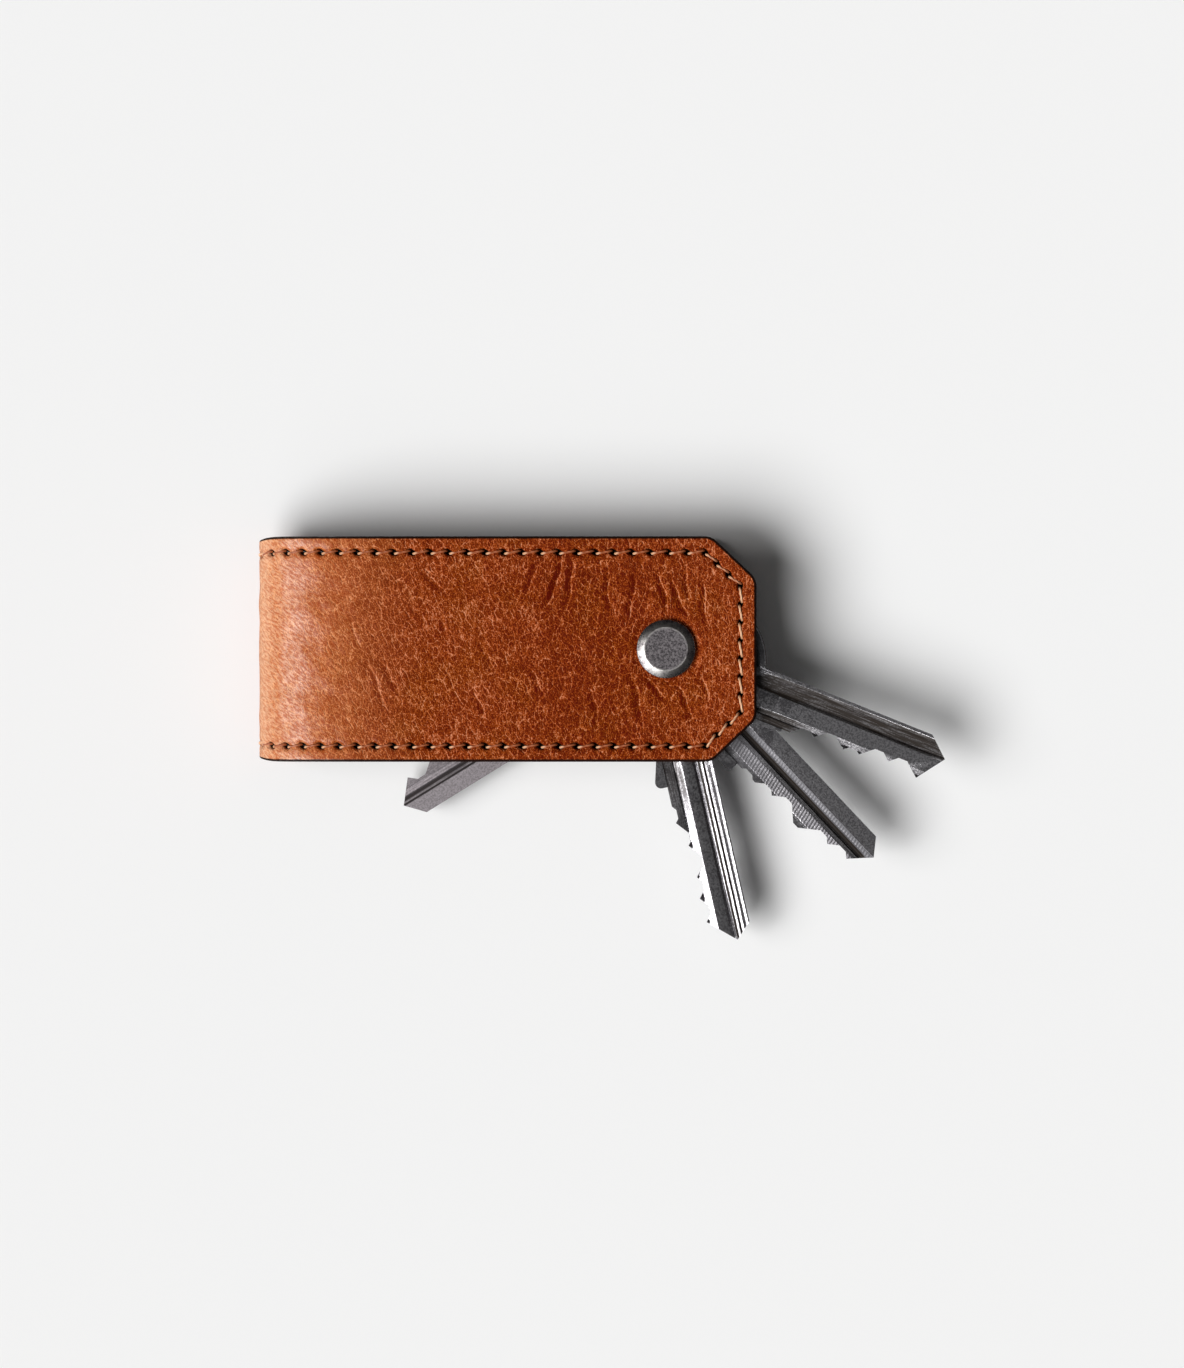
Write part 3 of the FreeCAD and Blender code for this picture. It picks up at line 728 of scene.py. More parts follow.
def grid_faces(numbers: Numbers, closed: bool = False) -> Faces:
    """Quads of a grid of point numbers, or of each grid in a stack.

    Args:
        numbers: the grid.
        closed: whether its last column joins its first.

    Returns:
        The quads.
    """
    if closed:
        numbers = np.concatenate([numbers, numbers[..., :1]], axis=-1)
    here, there = numbers[..., :-1, :], numbers[..., 1:, :]
    quads = np.stack([here[..., :-1], here[..., 1:], there[..., 1:], there[..., :-1]], axis=-1)
    return quads.reshape(-1, 4).tolist()


def rounded(corners: Array, radii: Array, steps: int) -> Array:
    """Line through corners, each replaced by an arc.

    At a corner where the line turns by an angle a, the arc of radius r starts and ends r * tan(a / 2)
    from it, and its centre lies r / cos(a / 2) from it on the inner side.

    Args:
        corners: the corners, ends among them.
        radii: radius at each, and 0 for a sharp one.
        steps: points on each arc.

    Returns:
        The rounded line.
    """
    before = np.vstack([corners[:1] - (corners[1:2] - corners[:1]), corners[:-1]])
    after = np.vstack([corners[1:], corners[-1:] + (corners[-1:] - corners[-2:-1])])
    into, out = unit(corners - before), unit(after - corners)
    half = np.arccos(np.clip((into * out).sum(axis=1), -1, 1)) / 2
    inward = out - into
    length = np.linalg.norm(inward, axis=1, keepdims=True)
    inward = np.divide(inward, length, out=np.zeros_like(inward), where=length > 0)
    centre = corners + inward * (radii / np.cos(half))[:, None]
    turn = np.linspace(-1, 1, steps)[:, None] * half[:, None, None]
    spoke = unit(into + out)[:, None] * np.sin(turn) - inward[:, None] * np.cos(turn)
    arc = centre[:, None] + radii[:, None, None] * spoke
    kept = (radii > 0)[:, None] | (np.arange(steps) == 0)
    return arc[kept]


def lathe(profile: Array, turns: int) -> tuple[Array, Faces]:
    """Surface of revolution: a profile of radius and height carried round the Z axis.

    Args:
        profile: radius and height of each point, from one end on the axis or closed on itself.
        turns: steps round the axis.

    Returns:
        The points and the faces.
    """
    angle = np.linspace(0, 2 * math.pi, turns, endpoint=False)
    radius, height = profile[:, :1], profile[:, 1:]
    points = np.stack([
        radius * np.cos(angle), radius * np.sin(angle), np.repeat(height, turns, axis=1),
    ], axis=-1)
    numbers = np.arange(len(profile) * turns).reshape(len(profile), turns)
    return points.reshape(-1, 3), grid_faces(numbers, closed=True)


@dataclass(frozen=True)
class Strap:
    """The folded strap: its side view, its outline when laid flat, and the seam along it.

    Laid flat, a place on the strap is its length from the fold, positive on the front leaf, and its
    distance across from the middle. All sizes are in millimetres. The fold and the end of a leaf are
    reached from the post, the bend eases into the leaf over the ease, and the fold draws in by the pinch.
    """

    fold_reach: float = 68.0
    end_reach: float = 15.1
    half_width: float = 18.8
    half_height: float = 8.0
    ease: float = 25.0
    ease_power: float = 3.6
    bend_steps: int = 6000
    cut_length: float = 7.5
    cut_width: float = 7.1
    corner_round: float = 3.0
    least_round: float = 0.5
    stitch_inset: float = 2.65
    stitch_pitch: float = 3.05
    pinch_share: float = 0.026
    pinch_reach: float = 3.5

    @cached_property
    def bend(self) -> dict[str, Array]:
        """Side view of the front half.

        The bend is a superellipse: with U the share of the ease run and Z the share of the half
        height, U ** power + Z ** 2 = 1. Its outward normal is the gradient of that sum.

        Returns:
            The length from the fold, the place and the normal of each point.
        """
        turn = np.linspace(0, math.pi / 2, self.bend_steps)
        share = np.append(np.cos(turn).clip(0) ** (2 / self.ease_power), 0)
        rise = np.append(np.sin(turn), 1)
        x = self.ease - self.fold_reach - self.ease * share
        x[-1] = self.end_reach
        z = self.half_height * rise
        length = np.append(0, np.cumsum(np.hypot(np.diff(x), np.diff(z))))
        steep = -self.ease_power / self.ease * share ** (self.ease_power - 1)
        normal = unit(np.stack([steep, 2 / self.half_height * rise], axis=1))
        return {"length": length, "x": x, "z": z, "nx": normal[:, 0], "nz": normal[:, 1]}

    @property
    def reach(self) -> float:
        """Length from the fold to the end of a leaf."""
        return float(self.bend["length"][-1])

    @property
    def post(self) -> float:
        """Length from the fold to the post."""
        return self.reach - self.end_reach

    def lift(self, flat: Array, depth: Array) -> tuple[Array, Array]:
        """Fold flat places into space.

        At the fold the strap draws in a little: its width is cut by a bell over the length.

        Args:
            flat: length and distance across of each.
            depth: depth of each below the outer face.

        Returns:
            The places, and the outward direction at each.
        """
        side = np.where(flat[:, 0] >= 0, 1.0, -1.0)
        length = np.abs(flat[:, 0])
        bend = self.bend
        x, z, nx, nz = (np.interp(length, bend["length"], bend[key]) for key in ("x", "z", "nx", "nz"))
        normal = np.stack([nx, np.zeros_like(nx), side * nz], axis=1)
        drawn = 1 - self.pinch_share * np.exp(-((length / self.pinch_reach) ** 2))
        face = np.stack([x, flat[:, 1] * drawn, self.half_height + side * z], axis=1)
        return face - normal * depth[:, None], normal

    def corners(self, inset: float) -> Array:
        """The eight corners of the flat outline, moved inwards.

        Args:
            inset: how far.

        Returns:
            The corners, from the front end's +Y corner towards the fold.
        """
        slant = math.hypot(self.cut_length, self.cut_width)
        long_shift = inset * (slant - self.cut_length) / self.cut_width
        end_shift = inset * (slant - self.cut_width) / self.cut_length
        end = (self.reach - inset, self.half_width - self.cut_width - end_shift)
        long = (self.reach - self.cut_length - long_shift, self.half_width - inset)
        quarter = np.array([end, long])
        half = np.vstack([quarter, quarter[::-1] * (-1, 1)])
        return np.vstack([half, half[::-1] * (1, -1)])

    @cached_property
    def stitch_counts(self) -> Numbers:
        """Stitches on each of the eight runs between corners, as whole numbers nearest to the pitch."""
        runs = np.diff(self.corners(self.stitch_inset), axis=0, append=self.corners(self.stitch_inset)[:1])
        return np.maximum(1, np.round(np.linalg.norm(runs, axis=1) / self.stitch_pitch)).astype(int)

    def stations(self, steps: Array) -> tuple[Numbers, Array]:
        """Places along the outline, in step with the stitches.

        Args:
            steps: places within one stitch, from 0 to 1.

        Returns:
            The run and the share of it, of each place.
        """
        counts = self.stitch_counts
        run = np.repeat(np.arange(len(counts)), counts)
        stitch = np.arange(len(run)) - (np.cumsum(counts) - counts)[run]
        share = (stitch[:, None] + steps) / counts[run][:, None]
        return np.repeat(run, len(steps)), share.ravel()

    def ring(self, run: Numbers, share: Array, inset: float) -> tuple[Array, Array, Array]:
        """Outline at an inset, with its corners rounded.

        Near a corner the line follows an arc, as in rounded(): a place at distance a from the corner
        goes to the angle a / t of the half turn, with t the arc's tangent length.

        Args:
            run: run of each place.
            share: share of the run.
            inset: how far inwards the outline lies.

        Returns:
            The flat places, and the forward and outward directions.
        """
        corner = self.corners(inset)
        path = np.roll(corner, -1, axis=0) - corner
        forward = unit(path)
        radius = max(self.corner_round - inset, self.least_round)
        nearest = np.where(share < 0.5, run, (run + 1) % len(corner))
        after = np.where(share < 0.5, share, share - 1) * np.linalg.norm(path, axis=1)[run]
        into, out = forward[nearest - 1], forward[nearest]
        half = np.arccos(np.clip((into * out).sum(axis=1), -1, 1)) / 2
        inward, along = unit(out - into), unit(out + into)
        tangent = radius * np.tan(half)
        turn = np.clip(after / tangent, -1, 1) * half
        centre = corner[nearest] + inward * (radius / np.cos(half))[:, None]
        cosine, sine = np.cos(turn)[:, None], np.sin(turn)[:, None]
        arc = centre + radius * (along * sine - inward * cosine)
        bent = (np.abs(after) < tangent)[:, None]
        flat = np.where(bent, arc, corner[run] + path[run] * share[:, None])
        heading = np.where(bent, along * cosine + inward * sine, forward[run])
        outward = np.stack([heading[:, 1], -heading[:, 0]], axis=1)
        return flat, heading, np.where((outward * inward).sum(axis=1, keepdims=True) > 0, -outward, outward)

    @cached_property
    def holes(self) -> tuple[Array, Array, Array]:
        """Flat place of each stitch hole, with the seam's forward and outward directions there."""
        run, share = self.stations(np.zeros(1))
        return self.ring(run, share, self.stitch_inset)


@dataclass(frozen=True)
class Creases:
    """Folds in the skin of the front leaf, as the strap was bent and handled.

    Attributes:
        lines: X and Y of the start and of the end of each, its sideways bow, its half width and its
            depth, in the frame's millimetres.
        waver: how far a line wavers.
        waver_rate: how fast, in radians per millimetre.
        bank_share: height of the bank beside a fold, as a share of the fold's depth.
        bank_shift: its distance from the fold, in half widths.
        mark_reach: half width of the painted highlight and shade beside a fold.
        full_depth: depth of a fold whose painted highlight and shade are full.
        mark_limits: least and most strength of that painted highlight and shade.
    """

    lines: tuple[Floats, ...] = (
        (-17.4, 15.4, -20.6, 6.4, 0.6, 0.75, 0.16),
        (-15.8, 15.2, -16.6, 6.6, 0.3, 0.6, 0.12),
        (-21.5, 14.8, -24.0, 8.5, 0.4, 0.7, 0.1),
        (-1.8, 13.6, 0.4, 5.4, 0.3, 0.5, 0.12),
        (0.6, 12.6, 4.0, 4.8, -0.3, 0.5, 0.12),
        (3.0, 14.9, 3.4, 5.6, 0.3, 0.45, 0.08),
        (6.4, 12.4, 6.9, 3.0, -0.3, 0.5, 0.08),
        (-5.2, 13.0, -6.8, 4.0, 0.4, 0.6, 0.09),
        (-9.5, 13.2, -9.2, 6.2, -0.4, 0.6, 0.07),
        (-4.3, -4.4, 0.2, -9.0, 0.4, 0.5, 0.1),
        (-6.0, -4.0, -4.2, -13.0, 0.5, 0.55, 0.08),
        (1.6, -5.6, 4.4, -12.6, 0.4, 0.5, 0.08),
        (5.4, -3.2, 7.2, -10.0, 0.3, 0.5, 0.06),
        (-52.8, 5.8, -50.2, -1.6, -0.3, 0.4, 0.06),
        (-50.4, -1.4, -46.8, -11.0, 0.5, 0.4, 0.08),
        (-48.4, -1.4, -44.4, -8.0, 0.4, 0.4, 0.06),
        (-37.4, 5.6, -37.0, 0.2, 0.3, 0.4, 0.05),
        (-40.6, 12.6, -36.4, 8.8, 0.3, 0.45, 0.05),
        (-31.0, 2.0, -27.4, -5.0, -0.5, 0.5, 0.05),
        (-33.0, -6.0, -30.0, -13.0, 0.5, 0.5, 0.06),
        (-24.0, -2.0, -20.0, -9.0, 0.5, 0.6, 0.06),
        (-13.0, -6.0, -11.5, -14.0, 0.5, 0.55, 0.06),
    )
    waver: float = 0.14
    waver_rate: float = 1.3
    bank_share: float = 0.45
    bank_shift: float = 1.9
    mark_reach: float = 1.6
    full_depth: float = 0.12
    mark_limits: Pair = (0.4, 1.2)

    def beside(self, x: Array, y: Array) -> tuple[Array, Array]:
        """Place of each point by each line, which bows sideways and wavers.

        Args:
            x: place along the strap from the post.
            y: place across the strap.

        Returns:
            The distance to the side of each line, and its strength, which fades towards its ends.
        """
        x0, y0, x1, y1, bow = np.array(self.lines).T[:5, :, None]
        run = np.hypot(x1 - x0, y1 - y0)
        ahead_x, ahead_y = (x1 - x0) / run, (y1 - y0) / run
        along = ((x - x0) * ahead_x + (y - y0) * ahead_y) / run
        off = (y - y0) * ahead_x - (x - x0) * ahead_y - 4 * bow * along * (1 - along)
        off = off + self.waver * np.sin(along * run * self.waver_rate + x0)
        return off, np.clip(along * (1 - along) * 4, 0, 1)

    def rise(self, x: Array, y: Array) -> Array:
        """Height of the folds: each is a bell across its line, with a lower bell raised beside it.

        Args:
            x: place along the strap from the post.
            y: place across the strap.

        Returns:
            The height in millimetres, which is below 0 in a fold.
        """
        off, strength = self.beside(x, y)
        width, depth = np.array(self.lines).T[5:, :, None]
        bank = self.bank_share * np.exp(-((off / width - self.bank_shift) ** 2))
        return -(depth * strength * (np.exp(-((off / width) ** 2)) - bank)).sum(axis=0)

    def marks(self, x: Array, y: Array) -> Array:
        """Place of each point by the fold whose painted highlight and shade is strongest there.

        Args:
            x: place along the strap from the post.
            y: place across the strap.

        Returns:
            The distance to its side, how deep it is there, and 0.
        """
        off, strength = self.beside(x, y)
        full = np.clip(np.array(self.lines)[:, 6:] / self.full_depth, *self.mark_limits)
        mark = strength * np.exp(-((off / self.mark_reach) ** 2)) * full
        first = mark.argmax(axis=0)[None]
        aside, deep = (np.take_along_axis(value, first, axis=0)[0] for value in (off, mark))
        return np.column_stack([aside, deep, np.zeros_like(deep)])


@dataclass(frozen=True)
class Waves:
    """Unevenness of the skin: a seeded sum of waves in random directions.

    Lengths are in millimetres, and the height is the root mean square of the sum.
    """

    seed: int = 5
    shortest: float = 2.2
    longest: float = 9.0
    height: float = 0.035
    count: int = 48

    def rise(self, x: Array, y: Array) -> Array:
        """Height of the waves, each with a size in proportion to its length.

        Args:
            x: place along the strap.
            y: place across it.

        Returns:
            The height in millimetres.
        """
        random = np.random.default_rng(self.seed)
        length = np.exp(random.uniform(math.log(self.shortest), math.log(self.longest), self.count))
        heading = random.uniform(0, 2 * math.pi, self.count)
        start = random.uniform(0, 2 * math.pi, self.count)
        total = np.zeros_like(x)
        for size, angle, phase in zip(length, heading, start):
            total += size * np.sin(2 * math.pi / size * (x * math.cos(angle) + y * math.sin(angle)) + phase)
        return self.height * total / math.sqrt((length ** 2).sum() / 2)


@dataclass(frozen=True)
class LeatherLayer:
    """One layer of the strap, closed all round, with its stitch holes sunk into the side that shows.

    Sizes are in millimetres. The seam lies in a trough, the post's front head in a dip, and the screw's
    head in a round seat in the back leaf's outside.

    Attributes:
        strap: the strap.
        side: which side shows.
        shown: depth of that side below the strap's outer face.
        hidden: depth of the other side.
        edge: radius of the rounded edge.
        steps: places along the outline in each stitch, as shares of it.
        insets: insets of the rings between the edge and the inner grid.
        hole_depth: depth of a stitch hole.
        hole_lean: angle between its slit and the seam, in degrees.
        hole_length: half length of a slit across the strap, and what a slit along it has more.
        hole_width: half width of a slit, likewise.
        seam_reach: how far inside the seam the holes go.
        seat_grip: how near to the seat's edge places are drawn on to its wall.
        foot: size of the bevel along the hidden side.
    """

    strap: Strap
    side: Side
    shown: float
    hidden: float
    edge: float
    steps: Floats
    insets: Floats
    hole_depth: float
    hole_lean: float = 32.0
    hole_length: Pair = (0.54, 0.26)
    hole_width: Pair = (0.43, 0.07)
    seam_reach: float = 1.5
    trough_depth: float = 0.16
    trough_width: float = 0.6
    dip_depth: float = 0.36
    dip_radius: float = 6.4
    dip_run: float = 1.6
    seat_radius: float = 5.05
    seat_depth: float = 1.25
    seat_wall: float = 0.04
    seat_grip: float = 0.5
    foot: float = 0.06
    edge_steps: int = 6
    waves: Waves = Waves()
    creases: Creases = Creases()

    def gather(self, flat: Array) -> Array:
        """Draw the places near the screw's seat on to two circles, so that its wall is round.

        Args:
            flat: flat places.

        Returns:
            The places, with those near the seat's edge moved along its radius.
        """
        if self.side is Side.INSIDE:
            return flat
        middle = np.array([-self.strap.post, 0.0])
        out = flat - middle
        radius = np.hypot(*out.T)
        wall = self.seat_radius + np.where(radius < self.seat_radius, -self.seat_wall, self.seat_wall)
        near = np.abs(radius - self.seat_radius) < self.seat_grip
        drawn = middle + out * (wall / np.maximum(radius, self.seat_wall))[:, None]
        return np.where(near[:, None], drawn, flat)

    def hole_share(self, flat: Array) -> Array:
        """How deep in a stitch hole each place lies, from 0 to 1.

        A hole is a slit that leans forwards and outwards, and its depth is a bell over an ellipse. The
        thread has drawn the slits along the strap longer than those across it.

        Args:
            flat: flat places.

        Returns:
            The share.
        """
        centre, forward, outward = self.strap.holes
        cosine, sine = math.cos(math.radians(self.hole_lean)), math.sin(math.radians(self.hole_lean))
        drawn = np.abs(forward[:, 0])
        gap = flat[:, None] - centre
        along, across = (
            (gap * axis).sum(axis=2) / (least + more * drawn)
            for axis, (least, more) in (
                (forward * cosine + outward * sine, self.hole_length),
                (outward * cosine - forward * sine, self.hole_width),
            )
        )
        return np.exp(-((along ** 2 + across ** 2) ** 2)).max(axis=1)

    def relief(self, flat: Array, inset: Array, hole: Array) -> Array:
        """Height of the side that shows above its plain face.

        The seam lies in a shallow trough, the holes are sunk, and the skin has its waves. On the
        outside the front leaf has folds and dips under the post's head, and the back leaf has the
        seat of the screw.

        Args:
            flat: flat places.
            inset: distance of each from the edge, as far as the seam's rings go.
            hole: how deep in a hole each lies.

        Returns:
            The height in millimetres.
        """
        trough = np.exp(-(((inset - self.strap.stitch_inset) / self.trough_width) ** 2))
        x, y = np.abs(flat[:, 0]) - self.strap.post, flat[:, 1]
        height = self.waves.rise(flat[:, 0], y) - self.trough_depth * trough - self.hole_depth * hole
        if self.side is Side.INSIDE:
            return height
        front, from_post = flat[:, 0] > 0, np.hypot(x, y)
        dip = np.clip((self.dip_radius - from_post) / self.dip_run, 0, 1)
        dip = self.dip_depth * dip ** 2 * (3 - 2 * dip)
        height = height + np.where(front, self.creases.rise(x, y) - dip, 0.0)
        return np.where(~front & (from_post < self.seat_radius), -self.seat_depth, height)

    def section(self) -> tuple[Array, Array]:
        """Section through the edge: from the hidden side round a quarter circle and in to the seam.

        Returns:
            The inset of each ring, and how far it lies below the side that shows.
        """
        turn = np.linspace(math.pi / 2, 0, self.edge_steps)
        wall = abs(self.hidden - self.shown)
        inset = [self.foot, 0.0, *self.edge * (1 - np.sin(turn)), *self.insets]
        sink = [wall, wall - self.foot, *self.edge * (1 - np.cos(turn)), *np.zeros(len(self.insets))]
        return np.array(inset), np.array(sink)

    def faces(self, rings: int, right: Numbers, left: Numbers, ends: int) -> Faces:
        """Join the rings, the grid inside the last one, and rows across the hidden side.

        Args:
            rings: how many rings there are.
            right: places on a ring along one long side.
            left: the places that face them.
            ends: steps along each end of a ring.

        Returns:
            The faces, as rows of point numbers.
        """
        sides = len(right) - 1
        count = 2 * (sides + ends)
        ring = np.arange(rings * count).reshape(rings, count)
        first, last = ring[0], ring[-1]
        front, back = -np.arange(ends + 1) % count, sides + np.arange(ends + 1)
        grid = np.empty((sides + 1, ends + 1), dtype=int)
        grid[1:-1, 1:-1] = ring.size + np.arange((sides - 1) * (ends - 1)).reshape(sides - 1, ends - 1)
        grid[:, 0], grid[:, -1] = last[right], last[left]
        grid[0], grid[-1] = last[front], last[back]
        rows = np.stack([first[right], first[left]], axis=1)
        caps = [
            np.append(first[front[::-1]], rows[1]).tolist(),
            np.append(first[back], rows[-2, ::-1]).tolist(),
        ]
        return grid_faces(ring, closed=True) + grid_faces(grid) + grid_faces(rows[1:-1]) + caps

    def surface(self) -> Surface:
        """Work out the layer.

        The outline is carried inwards from the hidden side, over the rounded edge and through the seam,
        ring by ring. The grid inside the last ring joins its two long sides by straight rows.

        Returns:
            The closed surface, with skin, rim, hole and, on the outside, fold values.
        """
        strap = self.strap
        run, share = strap.stations(np.array(self.steps))
        inset, sink = self.section()
        rings = np.stack([strap.ring(run, share, value)[0] for value in inset])
        count, sides = len(run), int((run < SIDE_RUNS).sum())
        right = np.arange(sides + 1)
        left = count // 2 + right[::-1]
        across = np.append(share[run == SIDE_RUNS], 1.0)[:, None]
        inner = rings[-1][right][:, None] * (1 - across) + rings[-1][left][:, None] * across
        inner = self.gather(inner[1:-1, 1:-1].reshape(-1, 2))
        flat = np.vstack([rings.reshape(-1, 2), inner])
        inset = np.concatenate([np.repeat(inset, count), np.full(len(inner), inset[-1] + 1)])
        sink = np.concatenate([np.repeat(sink, count), np.zeros(len(inner))])
        near = inset < strap.stitch_inset + self.seam_reach
        hole = np.zeros(len(flat))
        hole[near] = self.hole_share(flat[near])
        fade = np.clip(inset / (2 * self.edge), 0, 1) * (sink < self.edge / 2)
        depth = self.shown + self.side.value * (sink - self.relief(flat, inset, hole) * fade)
        values = {"skin": np.column_stack([flat, depth]), "rim": inset - sink, "hole": hole * fade}
        if self.side is Side.OUTSIDE:
            marks = self.creases.marks(flat[:, 0] - strap.post, flat[:, 1])
            values["fold"] = marks * np.where(flat[:, :1] > 0, (1, 1, 1), (1, 0, 1))
        faces = self.faces(len(rings), right, left, len(across) - 1)
        return Surface(strap.lift(flat, depth)[0], faces, values)


@dataclass(frozen=True)
class Stitches:
    """The thread of one seam: each stitch comes up at one hole and goes down at the next.

    Attributes:
        strap: the strap.
        side: which side of the leather the seam is on.
        face: depth of that side below the strap's outer face.
        radius: the thread's radius.
        drop: how deep its ends go into the holes.
        sag: how far its middle is pressed in.
        least_sag: share of the sag that every stitch has.
        slit: how far along the seam the thread leaves the middle of a slit.
        slit_out: how far outwards it does, as a share of that.
        lit_pale_reach: share of a stitch that stays pale as a painted highlight, where it is pressed in.
        lit_pale_run: share over which that paleness then goes.
        sections: places along a stitch, as shares of it.
        sides: sides of the thread.
    """

    strap: Strap
    side: Side
    face: float
    radius: float = 0.21
    drop: float = 0.78
    sag: float = 0.22
    least_sag: float = 0.3
    slit: float = 0.3
    slit_out: float = 0.8
    lit_pale_reach: float = 0.1
    lit_pale_run: float = 0.16
    sections: Floats = (0.0, 0.05, 0.12, 0.28, 0.72, 0.88, 0.95, 1.0)
    sides: int = 7

    def surface(self) -> Surface:
        """Work out every stitch: a circle carried along a low arch between two holes.

        The arch leaves the outward end of one slit and enters the inward end of the next, so the
        stitch leans a little. With s = 2 t - 1 over its length t, its height is a flat-topped curve,
        1 - s ** 6, less a sag of 1 - s ** 2 where the stitch is pressed into the leather, which is
        most along the strap. There it is coloured darker, and only the end towards the fold, which faces
        the lamps, stays pale as a painted highlight.

        Returns:
            The closed tubes, with length, turn and paleness as the strand value.
        """
        centre, forward, outward = self.strap.holes
        lean = (forward + outward * self.slit_out) * self.slit
        start, end = centre + lean, np.roll(centre - lean, -1, axis=0)
        share = np.array(self.sections)
        middle = 2 * share - 1
        away = np.abs(end[:, :1]) - np.abs(start[:, :1])
        pressed = np.abs(away) / np.linalg.norm(end - start, axis=1, keepdims=True)
        height = -self.drop * middle ** 6 - self.sag * (self.least_sag + pressed) * (1 - middle ** 2)
        near = np.where(away > 0, share, 1 - share)
        # Painted highlight: a pressed stitch stays pale only at the end towards the fold, which faces the
        # lamps.
        pale = 1 - pressed ** 2 * np.clip((near - self.lit_pale_reach) / self.lit_pale_run, 0, 1)
        flat = start[:, None] * (1 - share[:, None]) + end[:, None] * share[:, None]
        lifted = self.strap.lift(flat.reshape(-1, 2), (self.face - self.side.value * height).ravel())
        line, normal = (part.reshape(*height.shape, 3) for part in lifted)
        ahead = unit(np.gradient(line, axis=1))
        aside = unit(np.cross(ahead, normal))
        up = np.cross(aside, ahead)
        turn = np.linspace(0, 2 * math.pi, self.sides, endpoint=False)
        ring = aside[:, :, None] * np.cos(turn)[:, None] + up[:, :, None] * np.sin(turn)[:, None]
        points = line[:, :, None] + self.radius * ring
        numbers = np.arange(points.size // 3).reshape(points.shape[:3])
        caps = [*numbers[:, 0, ::-1].tolist(), *numbers[:, -1].tolist()]
        length = share[:, None] * self.strap.stitch_pitch
        strand = np.stack(np.broadcast_arrays(length, turn, pale[:, :, None]), axis=-1)
        faces = grid_faces(numbers, closed=True) + caps
        return Surface(points.reshape(-1, 3), faces, {"strand": strand.reshape(-1, 3)})


def dress(piece: bpy.types.Object, material: bpy.types.Material, body: str, node: str) -> None:
    """Give a piece its finish and its body, and let it stand for a CAD node.

    Args:
        piece: the piece.
        material: its material.
        body: the CAD body that it moves with.
        node: the CAD node that it replaces.
    """
    piece.data.materials.clear()
    piece.data.materials.append(material)
    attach(piece, body)
    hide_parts(node)
    log.info("%s: %d points, on %s", piece.name, len(piece.data.vertices), body)


@dataclass
class Case:
    """The stitched strap: two layers of leather and their seams.

    The steps and insets are those of a LeatherLayer, and the angles those above which an edge is sharp.
    """

    strap: Strap = field(default_factory=Strap)
    outer_thickness: float = 1.6
    outer_edge: float = 0.5
    outer_hole: float = 1.1
    outer_steps: Floats = (0.0, 0.05, 0.11, 0.18, 0.29, 0.42, 0.58, 0.71, 0.82, 0.89, 0.95)
    outer_insets: Floats = (
        0.8, 1.2, 1.6, 1.9, 2.05, 2.17, 2.29, 2.41, 2.53, 2.65, 2.77, 2.89, 3.01, 3.13, 3.25, 3.42, 3.8, 4.4,
    )
    lining_thickness: float = 1.0
    lining_edge: float = 0.3
    lining_hole: float = 0.6
    lining_steps: Floats = (0.0, 0.09, 0.2, 0.4, 0.6, 0.8, 0.91)
    lining_insets: Floats = (0.8, 1.6, 2.1, 2.35, 2.5, 2.65, 2.8, 2.95, 3.2, 3.8)
    skin_angle: float = 60.0
    thread_angle: float = 80.0

    def outer_layer(self) -> LeatherLayer:
        """The outer leather."""
        return LeatherLayer(
            self.strap, Side.OUTSIDE, 0.0, self.outer_thickness, self.outer_edge,
            self.outer_steps, self.outer_insets, self.outer_hole,
        )

    def lining_layer(self) -> LeatherLayer:
        """The lining."""
        leaf = self.outer_thickness + self.lining_thickness
        return LeatherLayer(
            self.strap, Side.INSIDE, leaf, self.outer_thickness, self.lining_edge,
            self.lining_steps, self.lining_insets, self.lining_hole,
        )

    def build(self) -> None:
        """Make and dress the leather and the seams."""
        outer, lining = self.outer_layer(), self.lining_layer()
        outer_skin = outer.surface().build("outer_skin", self.skin_angle)
        dress(outer_skin, TanLeather().material(), "case", "outer_leather")
        lining_skin = lining.surface().build("lining_skin", self.skin_angle)
        dress(lining_skin, LiningLeather().material(), "case", "lining_leather")
        thread = Thread().material()
        for name, layer in (("outer", outer), ("lining", lining)):
            seam = Stitches(self.strap, layer.side, layer.shown).surface()
            piece = seam.build(f"{name}_thread", self.thread_angle)
            dress(piece, thread, "case", f"{name}_stitches")


def bevelled_copy(node: str, name: str, width: float) -> bpy.types.Object:
    """Copy a CAD node with its flat faces joined and its edges slightly rounded.

    Args:
        node: the CAD node.
        name: the copy's name.
        width: width of the rounding, in millimetres.

    Returns:
        The copy.
    """
    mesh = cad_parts[node].data.copy()
    mesh.name = name
    tidy(mesh, SHARP_ANGLE, FLAT_ANGLE)
    piece = link(name, mesh)
    bevel = piece.modifiers.new("edge", "BEVEL")
    bevel.width = width * MM
    bevel.segments = 2
    bevel.limit_method = "ANGLE"
    bevel.angle_limit = math.radians(BEVEL_ANGLE)
    bevel.harden_normals = True
    return piece


